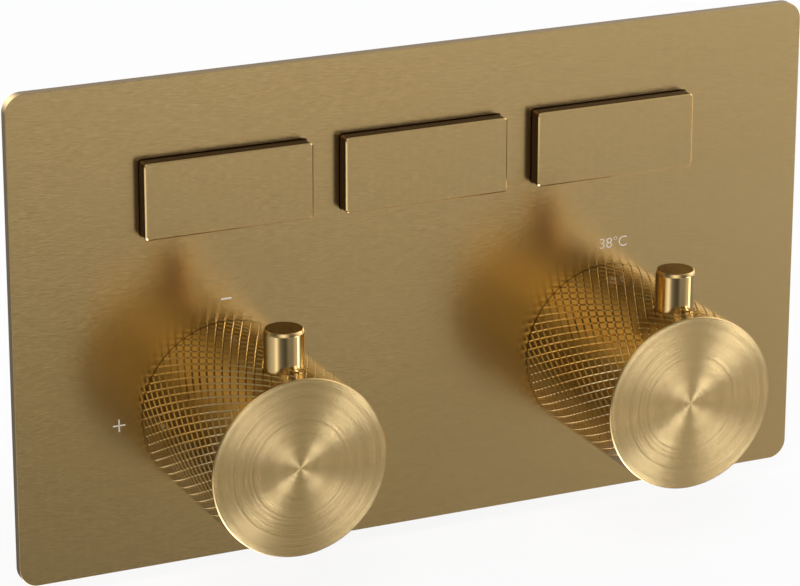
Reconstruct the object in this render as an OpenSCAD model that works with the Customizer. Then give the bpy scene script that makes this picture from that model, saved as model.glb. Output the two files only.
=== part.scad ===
// Concealed thermostatic shower valve with three outlet buttons, a flow knob and a temperature knob.
// Millimetres. X runs to the right and Z up, as seen from the user, who stands on the -Y side.
// The origin is the centre of the wall plate's back face, so the wall's surface is the plane y = 0.

/* [Wall plate] */
// Width of the wall plate
plate_w = 230; // [226:0.5:240]
// Height of the wall plate
plate_h = 133.5; // [130:0.5:144]
// Thickness of the wall plate
plate_t = 3; // [2.5:0.1:4]
// Corner radius of the wall plate
plate_corner_r = 8; // [4:0.5:12]
// Corner radius of the button openings
opening_corner_r = 1; // [0.6:0.1:2]
// Width of the foam seal let into the plate's back
seal_w = 5; // [3:0.5:6]
// Depth of the seal's groove
seal_t = 1.2; // [0.8:0.1:1.5]

/* [Push buttons] */
// Width of a button
button_w = 47.2; // [44:0.1:48]
// Height of a button
button_h = 20.8; // [18:0.1:22]
// How far a button stands proud of the plate
button_proud = 3.9; // [3.5:0.1:5]
// Distance between neighbouring buttons, and of each knob from the middle
button_pitch = 56.2; // [55:0.1:58]
// Height of the buttons above the plate's middle
button_z = 35.4; // [34.5:0.1:36]
// Gap round a button in its opening
button_gap = 0.65; // [0.5:0.05:0.9]
// Travel of a button
button_travel = 3; // [2:0.1:3.4]
// Bevel round a button's face
button_bevel = 0.6; // [0.3:0.1:1]
// Wall of a button's skirt
button_wall = 1.5; // [1.2:0.1:2]
// Thickness of a button's face
button_face_t = 2.2; // [1.8:0.1:3]
// Depth of a button behind the plate's back
button_skirt = 4; // [3:0.1:5]

/* [Knobs] */
// Diameter over the knurl
knob_d = 48; // [46:0.5:50]
// Length of a knob
knob_l = 48; // [46:0.5:52]
// Gap between a knob and the plate
knob_gap = 0.8; // [0.5:0.1:1.5]
// Height of the knobs' axes, below the plate's middle
knob_z = -25.2; // [-27:0.1:-24]
// Grooves of each hand round the knurl
knurl_starts = 60; // [40:2:60]
// Half diamonds along the knurl
knurl_rows = 18; // [12:2:18]
// Depth of the knurl's grooves
knurl_depth = 0.45; // [0.3:0.05:0.6]
// Wall of the knurled sleeve under the grooves
grip_wall = 1.2; // [1:0.1:1.6]
// Visible rim of the knob's face
face_rim = 0.8; // [0.5:0.1:1.2]
// Thickness of the knob's face behind its rim
face_t = 3; // [2:0.1:4]
// Chamfer round the knob's face
face_chamfer = 0.25; // [0.15:0.05:0.4]
// Wall of the knob's core tube
core_wall = 2.5; // [2:0.1:2.6]
// Diameter of the hub that takes the spindle
hub_d = 17; // [15:0.5:18]

/* [Knob pins] */
// Diameter of a pin
pin_d = 10.5; // [9:0.1:11]
// Height of a pin above the knurl
pin_h = 10; // [8:0.5:12]
// Distance of a pin's axis behind the knob's face
pin_back = 10.1; // [9:0.1:12]
// Chamfer round a pin's top
pin_chamfer = 0.4; // [0.2:0.05:0.6]
// Clearance round a pin in the sleeve
pin_hole_gap = 0.3; // [0.2:0.05:0.4]
// Travel of the safety button
safety_travel = 2.2; // [1.8:0.1:2.2]

/* [Cartridges] */
// Diameter of the spindles
spindle_d = 10; // [9:0.1:10.4]
// Bore in the valve body for the flow and thermostat cartridges
cartridge_d = 32; // [31.5:0.1:32.5]
// Length of a gland nut's thread in the body
nut_thread_l = 6; // [5:0.1:7]
// Outer diameter of the shroud that carries the plate
shroud_d = 30; // [29.5:0.1:30.5]
// Outer diameter of a gland nut's neck, inside the shroud
nut_neck_d = 24.2; // [23:0.1:25]
// Length of the shroud in front of the plate's back
shroud_reach = 12; // [10:0.5:13]
// Diameter of the ceramic discs
disc_d = 23.6; // [22:0.1:24]
// Bore of the push cartridges in the body
push_d = 22; // [21:0.1:22.4]
// Axial lead of the thermostat's pusher for one turn of the knob
pusher_lead = 2.5; // [2:0.1:2.6]

/* [Valve body] */
// Distance from the wall's surface back to the body
setback = 14; // [13:0.5:16]
// Bore of the hot, cold and mixed passages
passage_d = 12; // [11:0.1:12.5]
// Wall of the body round its passages
cast_wall = 3; // [2.5:0.1:3.4]
// Tapping bore of the pipe ports, for a half inch pipe thread
port_d = 18.6; // [18.2:0.1:19]
// Depth of the pipe thread
port_depth = 14; // [12:0.5:16]
// Outer diameter of the pipe unions
union_d = 25; // [24:0.5:26]
// Distance of each inlet from the thermostat's axis
inlet_offset = 28; // [27.5:0.1:30]

/* [Bracket] */
// Thickness of the bracket's sheet
bracket_t = 2; // [1.5:0.1:2.5]
// Distance between the wall slots, side to side
slot_pitch_x = 152; // [150:1:154]
// Distance between the wall slots, up and down
slot_pitch_z = 84; // [80:1:86]
// Width of a wall slot
slot_w = 5.5; // [5:0.1:6]
// Length of a wall slot
slot_l = 11; // [9:0.5:12]

/* [Hidden] */

// Facets of a full circle
$fn = 72;
// How far a cutter runs past what it cuts, and a joined shape runs into the next
cut = 1;
// Radial clearance of a running fit
fit = 0.06;
// Small clearance between pieces that are screwed or pressed together
seat = 0.05;

// Half turns and the places of the three buttons
left_x = -button_pitch;
right_x = button_pitch;
flow_x = left_x;
temp_x = right_x;

// Levels along Y, from the front to the back
plate_front = -plate_t;
button_front = plate_front - button_proud;
knob_base = plate_front - knob_gap;
knob_front = knob_base - knob_l;
pin_y = knob_front + pin_back;
cart_y = setback + nut_thread_l;

// Radii of the knob's pieces
knob_r = knob_d / 2;
groove_r = knob_r - knurl_depth;
grip_bore_r = groove_r - grip_wall;
core_r = grip_bore_r - 2 * seat;
cavity_r = core_r - core_wall;
hub_r = hub_d / 2;
pin_r = pin_d / 2;
pin_top = knob_r + pin_h;
spindle_r = spindle_d / 2;
hub_length_share = 0.66;
hub_back = knob_front + knob_l * hub_length_share;
spindle_gap = 3;
spindle_tip = knob_front + face_t + spindle_gap;
grub_r = 2;
shroud_r = shroud_d / 2;
shroud_front = -shroud_reach;
neck_r = nut_neck_d / 2;
ring_section_r = 0.95;
ring_inset = 0.6;
ring_centre_r = shroud_r - ring_inset;
shroud_gap = 0.4;

// Safety button and stop ring
// A pressed catch passes under the lugs by this much
catch_pass_gap = 0.1;
lug_inner_gap = 0.3;
lug_outer_gap = 0.35;
catch_w = 5;
catch_t = safety_travel - lug_inner_gap - catch_pass_gap;
catch_clearance = 0.65;
catch_r1 = cavity_r - catch_clearance;
catch_r0 = catch_r1 - catch_t;
lug_r0 = catch_r0 - lug_inner_gap;
lug_r1 = cavity_r - lug_outer_gap;
stop_ring_t = 2;
stop_ring_gap = 0.3;
stop_ring_front = shroud_front - stop_ring_t - stop_ring_gap;
lug_l = 4;
catch_gap = 0.5;
catch_end = stop_ring_front - catch_gap;
lug_angle = 15;
catch_half_angle = 9.5;
cold_turn = 170;
hot_turn = 40;
hot_lug_depth = 2;

// Flow cartridge
cartridge_r = cartridge_d / 2;
housing_r = cartridge_r - seat;
flow_wall_l = 17;
cavity_y = cart_y + flow_wall_l;
disc_r = disc_d / 2;
disc_gap = 0.5;
flow_cavity_r = disc_r + disc_gap;
driver_t = 4;
moving_t = 3;
fixed_t = 4;
flow_floor_step = 5;
disc_seal_t = 3.4;
driver_gap = 0.4;
driver_y = cavity_y + driver_gap;
moving_y = driver_y + driver_t;
fixed_y = moving_y + moving_t;
disc_seal_y = fixed_y + fixed_t;
flow_end = disc_seal_y + disc_seal_t;
disc_port_pitch_r = disc_r / 2;
disc_port_r = 3.6;
flow_window_r = 3;
flow_window_inset = 1;
flow_window_y = moving_y + flow_window_inset;
flow_annulus_half = 4.6;

// Thermostat cartridge, from its front to its back
spindle_flange_r = 9;
spindle_flange_t = 3;
spindle_tip_r = 3;
flange_gap = 0.2;
pusher_travel = pusher_lead * cold_turn / 360;
pusher_room = 0.82;
pusher_y = cart_y + spindle_flange_t + pusher_travel + pusher_room;
pusher_l = 8;
pusher_r = 9;
pusher_cup_r = 6;
pusher_floor = 2;
hot_inset = 16;
shuttle_l = 14;
hot_y = cart_y + hot_inset;
cold_y = hot_y + shuttle_l;
slot_half = 2;
annulus_half = 4;
annulus_depth = 3;
shuttle_r = 12.4;
shuttle_wall = 2;
shuttle_y0 = hot_y;
shuttle_y1 = cold_y;
spider_t = 3;
wax_r = 5.5;
spider_hole_r = 1.9;
spider_hole_pitch_r = (wax_r + shuttle_r - shuttle_wall) / 2;
wax_inset = 5;
wax_tail_l = 9;
wax_y0 = shuttle_y0 + wax_inset;
wax_y1 = cold_y + wax_tail_l;
wax_stem_r = 1.6;
mixed_inset = 11.5;
mixed_y = cold_y + mixed_inset;
mixed_half = 3;
thermo_tail_l = 4;
thermo_end = mixed_y + thermo_tail_l;
thermo_lip_t = 2;
thermo_lip_w = 2.5;
mixed_window_r = 2.3;
mixed_window_shift = 0.5;
thermo_bore_r = shuttle_r + fit;
front_bore_r = pusher_r + fit;

// Push cartridges
push_r = push_d / 2;
push_housing_r = push_r - seat;
push_flange_r = 13.2;
push_flange_t = 2;
stem_r = 3;
stem_neck_r = 2;
stem_shoulder_gap = 1;
push_neck_l = 10;
push_cavity_y = setback + push_neck_l;
push_cavity_r = 8.6;
push_seat_inset = 30;
push_seat_y = setback + push_seat_inset;
push_seat_t = 3;
push_seat_r = 5;
push_window_inset = 14;
push_window_l = 10;
push_window_y0 = setback + push_window_inset;
push_window_y1 = push_window_y0 + push_window_l;
poppet_gap = 0.2;
poppet_y = push_seat_y + poppet_gap;
poppet_t = 3;
poppet_r = 7.4;
push_spring_l = 10.8;
push_end = poppet_y + poppet_t + push_spring_l;
guide_neck_r = 6;
guide_neck_l = 4;
stem_front = button_front + button_face_t;
cap_boss_r = 4.5;
cap_boss_end = 2;
outlet_y = (push_window_y0 + push_window_y1) / 2;

// Passages in the body
passage_r = passage_d / 2;
gallery_step = 0.5;
riser_step = 1;
gallery_r = passage_r + gallery_step;
outlet_r = passage_r - gallery_step;
riser_r = passage_r - riser_step;
feed_inset = 5.5;
feed_drop = 1.4;
feed_overhang = 4;
feed_y = push_seat_y + feed_inset;
feed_z = button_z - push_r - feed_drop;
feed_end = button_pitch + push_r + feed_overhang;
body_floor = 5.5;
body_back = thermo_end + body_floor;
push_back = push_end + cast_wall;
link_end = cartridge_r + annulus_depth / 2;
link_overhang = 5;
link_start = passage_r + link_overhang;
barrel_r = cartridge_r + annulus_depth + cast_wall;
flow_barrel_saving = 1;
flow_barrel_r = barrel_r - flow_barrel_saving;
push_annulus_depth = 1.5;
push_annulus_margin = 1;
push_wall = 2;
push_tail_step = 2.2;
push_barrel_r = push_r + push_annulus_depth + push_wall;
push_tail_r = push_barrel_r - push_tail_step;
union_r = union_d / 2;
boss_wall = 2.5;
boss_shoulder_l = 2;
boss_r = union_r + boss_wall;
port_r = port_d / 2;
union_neck_l = 4;
union_l = port_depth + union_neck_l;
side_port_reach = 35;
side_port_x = button_pitch + side_port_reach;
bottom_port_drop = 3.2;
bottom_port_z = -plate_h / 2 - bottom_port_drop;
hot_x = temp_x - inlet_offset;
cold_x = temp_x + inlet_offset;
valve_seat_r = 8;
seat_lip = 0.5;
check_l = 11;
check_bore_step = 0.5;
filter_t = 1.4;

// Bracket
pillar_r = 6;
pillar_x = 24;
pillar_top_drop = 10;
pillar_low_drop = 13;
pillar_top_z = feed_z - pillar_top_drop;
pillar_low_z = knob_z - pillar_low_drop;
screw_r = 2;
screw_depth = 9;
bracket_gap = 1;
ear_step = 5;
ear_land = 1;
bracket_y = body_back + bracket_gap;
ear_back = bracket_y + bracket_t + ear_step;
ear_inner = slot_pitch_x / 2 - slot_l - ear_land;
ear_outer = slot_pitch_x / 2 + slot_l;
bracket_z = -8;
ear_margin = 6.5;
bracket_half_z = slot_pitch_z / 2 + ear_margin;
screw_head_r = 4;
screw_head_t = 2.4;
screw_hole_gap = 0.2;
screw_tip_gap = 1;
screw_socket_r = 1.25;
screw_socket_floor = 1;
// Flat left between the two quarter rounds at a slot's end
slot_flat = 0.01;

BRASS = [0.66, 0.56, 0.36];
RAW_BRASS = [0.72, 0.58, 0.30];
PLASTIC = [0.15, 0.15, 0.16];
WHITE = [0.86, 0.86, 0.84];
RUBBER = [0.08, 0.08, 0.08];
STEEL = [0.62, 0.63, 0.65];
CERAMIC = [0.93, 0.90, 0.84];
COPPER = [0.72, 0.43, 0.28];

// Round bars and turned shapes along each axis, given by radius and by the two end levels
module y_bar(r, y0, y1) {
    rotate([-90, 0, 0])
        translate([0, 0, y0])
            cylinder(r = r, h = y1 - y0);
}

module x_bar(r, x0, x1) {
    translate([x0, 0, 0])
        rotate([0, 90, 0])
            cylinder(r = r, h = x1 - x0);
}

module z_bar(r, z0, z1) {
    translate([0, 0, z0])
        cylinder(r = r, h = z1 - z0);
}

module y_tube(r, bore, y0, y1) {
    difference() {
        y_bar(r, y0, y1);
        y_bar(bore, y0 - cut, y1 + cut);
    }
}

// A profile of [radius, level] points turned about Y
module y_turn(points) {
    rotate([-90, 0, 0])
        rotate_extrude()
            polygon(points);
}

// A rectangle with round corners in X and Z, from level y0 to y1
module y_slab(w, h, r, y0, y1) {
    translate([0, y1, 0])
        rotate([90, 0, 0])
            linear_extrude(y1 - y0)
                rounded_outline(w, h, r);
}

module rounded_outline(w, h, r) {
    square([w - 2 * r, h], center = true);
    square([w, h - 2 * r], center = true);
    for (sx = [-1, 1])
        for (sz = [-1, 1])
            translate([sx * (w / 2 - r), sz * (h / 2 - r)])
                circle(r);
}

module ring_seal(centre_r, section_r, y) {
    rotate([-90, 0, 0])
        translate([0, 0, y])
            rotate_extrude()
                translate([centre_r, 0])
                    circle(section_r, $fn = 24);
}

// Coil spring of square-cut round wire as one tube along Z, closed by flat ends
spring_rings = 8;
spring_sides = 6;

function spring_point(r, wire, z0, z1, turns, j, k) =
    let (share = j / (spring_rings * turns),
         a = 360 * turns * share,
         b = 360 * k / spring_sides,
         rr = r + wire * cos(b))
    [rr * cos(a), rr * sin(a), z0 + wire + (z1 - z0 - 2 * wire) * share + wire * sin(b)];

module coil_spring(r, wire, z0, z1, turns) {
    last = spring_rings * turns;
    points = [for (j = [0:last]) for (k = [0:spring_sides - 1])
        spring_point(r, wire, z0, z1, turns, j, k)];
    sides = [for (j = [0:last - 1]) for (k = [0:spring_sides - 1])
        let (m = (k + 1) % spring_sides, a = j * spring_sides, b = a + spring_sides)
        each [[a + k, b + m, a + m], [a + k, b + k, b + m]]];
    front = [for (k = [0:spring_sides - 1]) k];
    back = [for (k = [spring_sides - 1:-1:0]) last * spring_sides + k];
    polyhedron(points, concat([front], sides, [back]));
}

// Knurled sleeve: two families of grooves cross, and each diamond between them rises to a crest.
// Rows of groove crossings and crests lie half a diamond apart along the knob.
knurl_l = knob_l - face_rim;
knurl_step = 360 / knurl_starts;
row_points = (knurl_rows + 1) * knurl_starts;
ring_points = 2 * knurl_starts;

function on_knob(r, a, y) = [r * cos(a), y, r * sin(a)];
function crossing(j, i) = j * knurl_starts + (i + knurl_starts) % knurl_starts;
function crest(j, i) = row_points + crossing(j, i);
function row_y(j) = knob_base - knurl_l * j / knurl_rows;
function outline(j, k) =
    (k + j) % 2 == 0 ? crossing(j, floor((k - j % 2) / 2)) : crest(j, floor((k - (j + 1) % 2) / 2));
function bore_point(j, k) = 2 * row_points + j * ring_points + (k + ring_points) % ring_points;

module knurled_sleeve() {
    points = concat(
        [for (j = [0:knurl_rows]) for (i = [0:knurl_starts - 1])
            on_knob(groove_r, (i + (j % 2) / 2) * knurl_step, row_y(j))],
        [for (j = [0:knurl_rows]) for (i = [0:knurl_starts - 1])
            on_knob(knob_r, (i + ((j + 1) % 2) / 2) * knurl_step, row_y(j))],
        [for (j = [0, knurl_rows]) for (k = [0:ring_points - 1])
            on_knob(grip_bore_r, k * knurl_step / 2, row_y(j))]);
    back_flanks = [for (j = [1:knurl_rows]) for (i = [0:knurl_starts - 1])
        let (c = crest(j, i), a = crossing(j, i - j % 2), b = crossing(j, i + 1 - j % 2),
             d = crossing(j - 1, i))
        each [[a, c, d], [d, c, b]]];
    front_flanks = [for (j = [0:knurl_rows - 1]) for (i = [0:knurl_starts - 1])
        let (c = crest(j, i), a = crossing(j, i - j % 2), b = crossing(j, i + 1 - j % 2),
             u = crossing(j + 1, i))
        each [[b, c, u], [u, c, a]]];
    back_end = [for (k = [0:ring_points - 1])
        let (a = outline(0, k), b = outline(0, (k + 1) % ring_points),
             c = bore_point(0, k + 1), d = bore_point(0, k))
        each [[a, b, c], [a, c, d]]];
    front_end = [for (k = [0:ring_points - 1])
        let (a = outline(knurl_rows, k), b = outline(knurl_rows, (k + 1) % ring_points),
             c = bore_point(1, k + 1), d = bore_point(1, k))
        each [[a, c, b], [a, d, c]]];
    bore = [for (k = [0:ring_points - 1])
        let (a = bore_point(0, k), b = bore_point(0, k + 1),
             c = bore_point(1, k + 1), d = bore_point(1, k))
        each [[a, b, c], [a, c, d]]];
    polyhedron(points, concat(back_flanks, front_flanks, back_end, front_end, bore));
}

// Trim in front of the wall
module wall_plate() {
    color(BRASS)
        difference() {
            y_slab(plate_w, plate_h, plate_corner_r, plate_front, 0);
            for (x = [left_x, 0, right_x])
                translate([x, 0, button_z])
                    y_slab(button_w + 2 * button_gap, button_h + 2 * button_gap, opening_corner_r,
                        plate_front - cut, cut);
            for (x = [flow_x, temp_x])
                translate([x, 0, knob_z])
                    y_bar(shroud_r + shroud_gap, plate_front - cut, cut);
            seal_groove(-seal_t, cut);
        }
}

seal_margin = 3;

module seal_groove(y0, y1) {
    w = plate_w - 2 * seal_margin;
    h = plate_h - 2 * seal_margin;
    difference() {
        y_slab(w, h, plate_corner_r - seal_margin, y0, y1);
        y_slab(w - 2 * seal_w, h - 2 * seal_w, opening_corner_r, y0 - cut, y1 + cut);
    }
}

module plate_seal() {
    color(RUBBER)
        seal_groove(-seal_t, 0);
}

guide_wall = 1.4;
guide_gap = 0.35;
guide_front = 2.3;
guide_floor_y = setback - push_flange_t - guide_wall;

module button_guide() {
    inner_w = button_w + 2 * guide_gap;
    inner_h = button_h + 2 * guide_gap;
    outer_w = 2 * button_pitch + inner_w + 2 * guide_wall;
    outer_h = inner_h + 2 * guide_wall;
    color(PLASTIC)
        translate([0, 0, button_z])
            difference() {
                y_slab(outer_w, outer_h, opening_corner_r, guide_front, guide_floor_y + guide_wall);
                for (x = [left_x, 0, right_x])
                    translate([x, 0, 0]) {
                        y_slab(inner_w, inner_h, opening_corner_r, guide_front - cut, guide_floor_y);
                        y_bar(guide_neck_r + seat, guide_floor_y - cut, guide_floor_y + guide_wall + cut);
                    }
            }
}

// One push button: cap, stem, poppet, spring and housing, each at the middle of the row
module button_cap() {
    skirt_w = button_w - 2 * button_wall;
    skirt_h = button_h - 2 * button_wall;
    color(BRASS)
        difference() {
            union() {
                difference() {
                    bevelled_block();
                    y_slab(skirt_w, skirt_h, opening_corner_r, stem_front, button_skirt + cut);
                }
                y_bar(cap_boss_r, stem_front - cut, cap_boss_end);
            }
            y_bar(stem_r + seat, stem_front, cap_boss_end + cut);
        }
}

// A block whose front edges are bevelled, cut from the sides so that every face stays flat
module bevelled_block() {
    corner_r = opening_corner_r - button_gap / 2;
    side = [[button_front + button_bevel, -button_h / 2], [button_front, -button_h / 2 + button_bevel],
        [button_front, button_h / 2 - button_bevel], [button_front + button_bevel, button_h / 2],
        [button_skirt, button_h / 2], [button_skirt, -button_h / 2]];
    top = [[-button_w / 2, button_front + button_bevel], [-button_w / 2 + button_bevel, button_front],
        [button_w / 2 - button_bevel, button_front], [button_w / 2, button_front + button_bevel],
        [button_w / 2, button_skirt], [-button_w / 2, button_skirt]];
    intersection() {
        y_slab(button_w, button_h, corner_r, button_front - cut, button_skirt + cut);
        rotate([90, 0, 90])
            linear_extrude(button_w + 2 * cut, center = true)
                polygon(side);
        linear_extrude(button_h + 2 * cut, center = true)
            polygon(top);
    }
}

module push_stem() {
    color(WHITE)
        union() {
            y_bar(stem_r, stem_front, push_seat_y - push_seat_t - button_travel - stem_shoulder_gap);
            y_bar(stem_neck_r, stem_front + cut, poppet_y + poppet_t);
        }
}

module push_poppet() {
    color(RUBBER)
        y_turn([[stem_neck_r + seat, poppet_y], [poppet_r, poppet_y], [poppet_r, poppet_y + poppet_t / 2],
            [push_seat_r, poppet_y + poppet_t], [stem_neck_r + seat, poppet_y + poppet_t]]);
}

push_spring_wire = 0.5;
push_spring_turns = 5;

module push_spring() {
    color(STEEL)
        rotate([-90, 0, 0])
            coil_spring(push_seat_r, push_spring_wire, poppet_y + poppet_t, push_end, push_spring_turns);
}

module push_housing() {
    color(PLASTIC)
        difference() {
            union() {
                y_bar(guide_neck_r, setback - push_flange_t - guide_neck_l, setback);
                y_bar(push_flange_r, setback - push_flange_t, setback);
                y_bar(push_housing_r, setback - cut, push_seat_y);
            }
            y_bar(stem_r + fit, setback - push_flange_t - guide_neck_l - cut, push_cavity_y + cut);
            y_bar(push_cavity_r, push_cavity_y, push_seat_y - push_seat_t);
            y_bar(push_seat_r, push_seat_y - push_seat_t - cut, push_seat_y + cut);
            for (a = [0:60:300])
                rotate([0, a, 0])
                    translate([0, (push_window_y0 + push_window_y1) / 2, 0])
                        z_bar(push_window_r, 0, push_r + cut);
            for (y = push_seal_levels)
                y_tube(push_r + cut, push_r - push_seal_d, y - push_seal_d / 2, y + push_seal_d / 2);
        }
}

push_window_r = 3.5;
push_seal_d = 1.6;
push_seal_front = 5;
push_seal_back = 3.4;
push_seal_levels = [setback + push_seal_front, push_seat_y - push_seal_back];

module push_seals() {
    color(RUBBER)
        for (x = [left_x, 0, right_x])
            translate([x, 0, button_z])
                for (y = push_seal_levels)
                    ring_seal(push_r - push_seal_d / 2 - seat / 2, (push_seal_d - seat) / 2, y);
}

// A knob: the knurled sleeve slides over the core from behind, and the pin goes through both
module knob_core(pin_bore_r) {
    color(BRASS)
        difference() {
            union() {
                y_turn([[0, knob_front], [knob_r - face_chamfer, knob_front],
                    [knob_r, knob_front + face_chamfer], [knob_r, knob_front + face_rim],
                    [core_r, knob_front + face_rim], [core_r, knob_base], [cavity_r, knob_base],
                    [cavity_r, knob_front + face_t], [0, knob_front + face_t]]);
                y_bar(hub_r, knob_front + face_t - cut, hub_back);
            }
            y_bar(spindle_r + seat, spindle_tip - cut, hub_back + cut);
            translate([0, pin_y, 0]) {
                z_bar(pin_bore_r, cavity_r - cut, knob_r);
                z_bar(grub_r + seat, 0, hub_r + cut);
            }
        }
}

module flow_knob() {
    difference() {
        knob_core(pin_shank_r + seat);
        translate([0, pin_y, 0])
            z_bar(pin_r + pin_hole_gap, flow_pin_seat_r, knob_r);
    }
}

module knob_grip() {
    color(BRASS)
        difference() {
            knurled_sleeve();
            translate([0, pin_y, 0])
                z_bar(pin_r + pin_hole_gap, grip_bore_r - cut, knob_r + cut);
        }
}

pin_shank_r = 3;
pin_spot_depth = 0.6;
flow_pin_seat_r = core_r - pin_spot_depth;

module flow_pin() {
    color(BRASS)
        translate([0, pin_y, 0])
            rotate_extrude()
                polygon([[0, cavity_r + seat], [pin_shank_r, cavity_r + seat],
                    [pin_shank_r, flow_pin_seat_r], [pin_r, flow_pin_seat_r],
                    [pin_r, pin_top - pin_chamfer], [pin_r - pin_chamfer, pin_top], [0, pin_top]]);
}

module safety_button() {
    color(BRASS)
        difference() {
            union() {
                translate([0, pin_y, 0])
                    rotate_extrude()
                        polygon([[0, catch_r0], [pin_r - pin_chamfer, catch_r0],
                            [pin_r - pin_chamfer, catch_r1], [pin_r, catch_r1],
                            [pin_r, pin_top - pin_chamfer], [pin_r - pin_chamfer, pin_top], [0, pin_top]]);
                translate([-catch_w / 2, pin_y, catch_r0])
                    cube([catch_w, catch_end - pin_y, catch_t]);
            }
            translate([0, pin_y, 0])
                z_bar(safety_spring_r + 2 * safety_wire, catch_r0 - cut, safety_spring_top);
        }
}

safety_spring_r = 3.2;
safety_wire = 0.4;
safety_spring_turns = 4;
safety_spring_depth = 3;
safety_spring_top = catch_r0 + safety_spring_depth;

module safety_button_spring() {
    color(STEEL)
        translate([0, pin_y, 0])
            coil_spring(safety_spring_r, safety_wire, hub_r, safety_spring_top, safety_spring_turns);
}

module grub_screw() {
    socket_r = grub_r / 2;
    top_r = hub_r - grub_inset;
    color(STEEL)
        translate([0, pin_y, 0])
            difference() {
                z_bar(grub_r, spindle_flat_r + seat, top_r);
                translate([0, 0, top_r - grub_socket_depth])
                    cylinder(r = socket_r, h = grub_socket_depth + cut, $fn = 6);
            }
}

grub_inset = 1;
grub_socket_depth = 2;

// Both spindles have a flat for the grub screw
spindle_flat_depth = 1;
spindle_chamfer = 0.5;
spindle_flat_r = spindle_r - spindle_flat_depth;

module spindle_shank(end) {
    difference() {
        y_turn([[0, spindle_tip], [spindle_r - spindle_chamfer, spindle_tip],
            [spindle_r, spindle_tip + spindle_chamfer], [spindle_r, end], [0, end]]);
        translate([-spindle_r - cut, spindle_tip - cut, spindle_flat_r])
            cube([spindle_d + 2 * cut, hub_back - spindle_tip, spindle_r]);
    }
}

module flow_spindle() {
    color(RAW_BRASS)
        union() {
            spindle_shank(driver_y + cut);
            difference() {
                y_bar(disc_r, driver_y, moving_y);
                rim_notches(driver_y, moving_y);
            }
        }
}

// The moving disc is open at its rim on two sides, where the water leaves
module rim_notches(y0, y1) {
    for (a = [0, 180])
        rotate([0, a, 0]) {
            translate([disc_port_pitch_r, 0, 0])
                y_bar(disc_port_r, y0 - cut, y1 + cut);
            translate([disc_port_pitch_r, y0 - cut, seat - disc_port_r])
                cube([disc_r, y1 - y0 + 2 * cut, 2 * (disc_port_r - seat)]);
        }
}

module flow_moving_disc() {
    color(CERAMIC)
        difference() {
            y_bar(disc_r, moving_y, fixed_y);
            rim_notches(moving_y, fixed_y);
        }
}

// The fixed disc's two ports stand a quarter turn away from the notches at rest
module port_pair(y0, y1) {
    for (a = [90, 270])
        rotate([0, a, 0])
            translate([disc_port_pitch_r, 0, 0])
                y_bar(disc_port_r, y0 - cut, y1 + cut);
}

module flow_fixed_disc() {
    color(CERAMIC)
        difference() {
            y_bar(disc_r, fixed_y, disc_seal_y);
            port_pair(fixed_y, disc_seal_y);
        }
}

module flow_disc_seal() {
    color(RUBBER)
        difference() {
            y_bar(disc_r, disc_seal_y, flow_end);
            port_pair(disc_seal_y, flow_end);
        }
}

// Ring grooves on the cartridges, with a seal in each
cart_seal_d = 2;

module seal_grooves(levels) {
    for (y = levels)
        y_tube(cartridge_r + cut, cartridge_r - cart_seal_d, y - cart_seal_d / 2, y + cart_seal_d / 2);
}

module flow_housing() {
    color(PLASTIC)
        difference() {
            y_bar(housing_r, cart_y, flow_end);
            y_bar(spindle_r + fit, cart_y - cut, cavity_y + cut);
            y_bar(flow_cavity_r, cavity_y, flow_end + cut);
            for (a = [0:90:270])
                rotate([0, a, 0])
                    translate([0, flow_window_y, 0])
                        z_bar(flow_window_r, flow_cavity_r - cut, cartridge_r + cut);
            seal_grooves(flow_seal_levels);
        }
}

flow_seal_front = 4;
flow_seal_back = 2.2;
flow_seal_levels = [cart_y + flow_seal_front, flow_end - flow_seal_back];

nut_neck_l = 10;
nut_hex_l = 5;
nut_hex_step = 1.2;
nut_hex_r = neck_r - nut_hex_step;
nut_hex_front = setback - nut_neck_l - nut_hex_l;

module nut_hex(r, y0, y1) {
    rotate([-90, 0, 0])
        translate([0, 0, y0])
            cylinder(r = r, h = y1 - y0, $fn = 6);
}

module gland_nut() {
    color(RAW_BRASS)
        difference() {
            union() {
                y_bar(housing_r, setback, cart_y);
                y_bar(neck_r, setback - nut_neck_l, setback + cut);
                nut_hex(nut_hex_r, nut_hex_front, setback);
            }
            y_bar(spindle_r + fit, nut_hex_front - cut, cart_y + cut);
        }
}

module shroud() {
    color(BRASS)
        difference() {
            y_bar(shroud_r, shroud_front, setback);
            y_bar(neck_r + seat, shroud_front - cut, setback + cut);
            y_tube(shroud_r + cut, ring_centre_r - ring_section_r, plate_ring_y - ring_section_r - seat,
                plate_ring_y + ring_section_r + seat);
        }
}

plate_ring_y = -plate_t / 2;

module plate_ring() {
    color(RUBBER)
        ring_seal(ring_centre_r, ring_section_r, plate_ring_y);
}

stop_bore_gap = 2;
stop_socket_l = 4;

// The stop ring's lugs stand forward in the catch's path
module stop_ring() {
    color(PLASTIC)
        union() {
            difference() {
                union() {
                    y_bar(lug_r1, stop_ring_front, shroud_front);
                    y_bar(neck_r - seat, shroud_front - cut, nut_hex_front + stop_socket_l);
                }
                y_bar(spindle_r + stop_bore_gap, stop_ring_front - cut, setback);
                nut_hex(nut_hex_r + 2 * seat, nut_hex_front - seat, setback);
            }
            stop_lug(lug_r0, catch_half_angle, lug_angle);
            stop_lug(lug_r0 - hot_lug_depth, catch_half_angle + hot_turn, lug_angle);
            stop_lug(lug_r0, -catch_half_angle - cold_turn - lug_angle, lug_angle);
        }
}

// A sector of ring, from an angle counted anticlockwise from the top as the user sees it
module stop_lug(r0, from, span) {
    wedge_r = 2 * knob_r;
    rotate([0, -from - 90, 0])
        intersection() {
            y_tube(lug_r1, r0, stop_ring_front - lug_l, stop_ring_front + cut);
            rotate([90, 0, 0])
                linear_extrude(knob_l, center = true)
                    polygon([[0, 0], [wedge_r, 0], [wedge_r * cos(span), wedge_r * sin(span)]]);
        }
}

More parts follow.
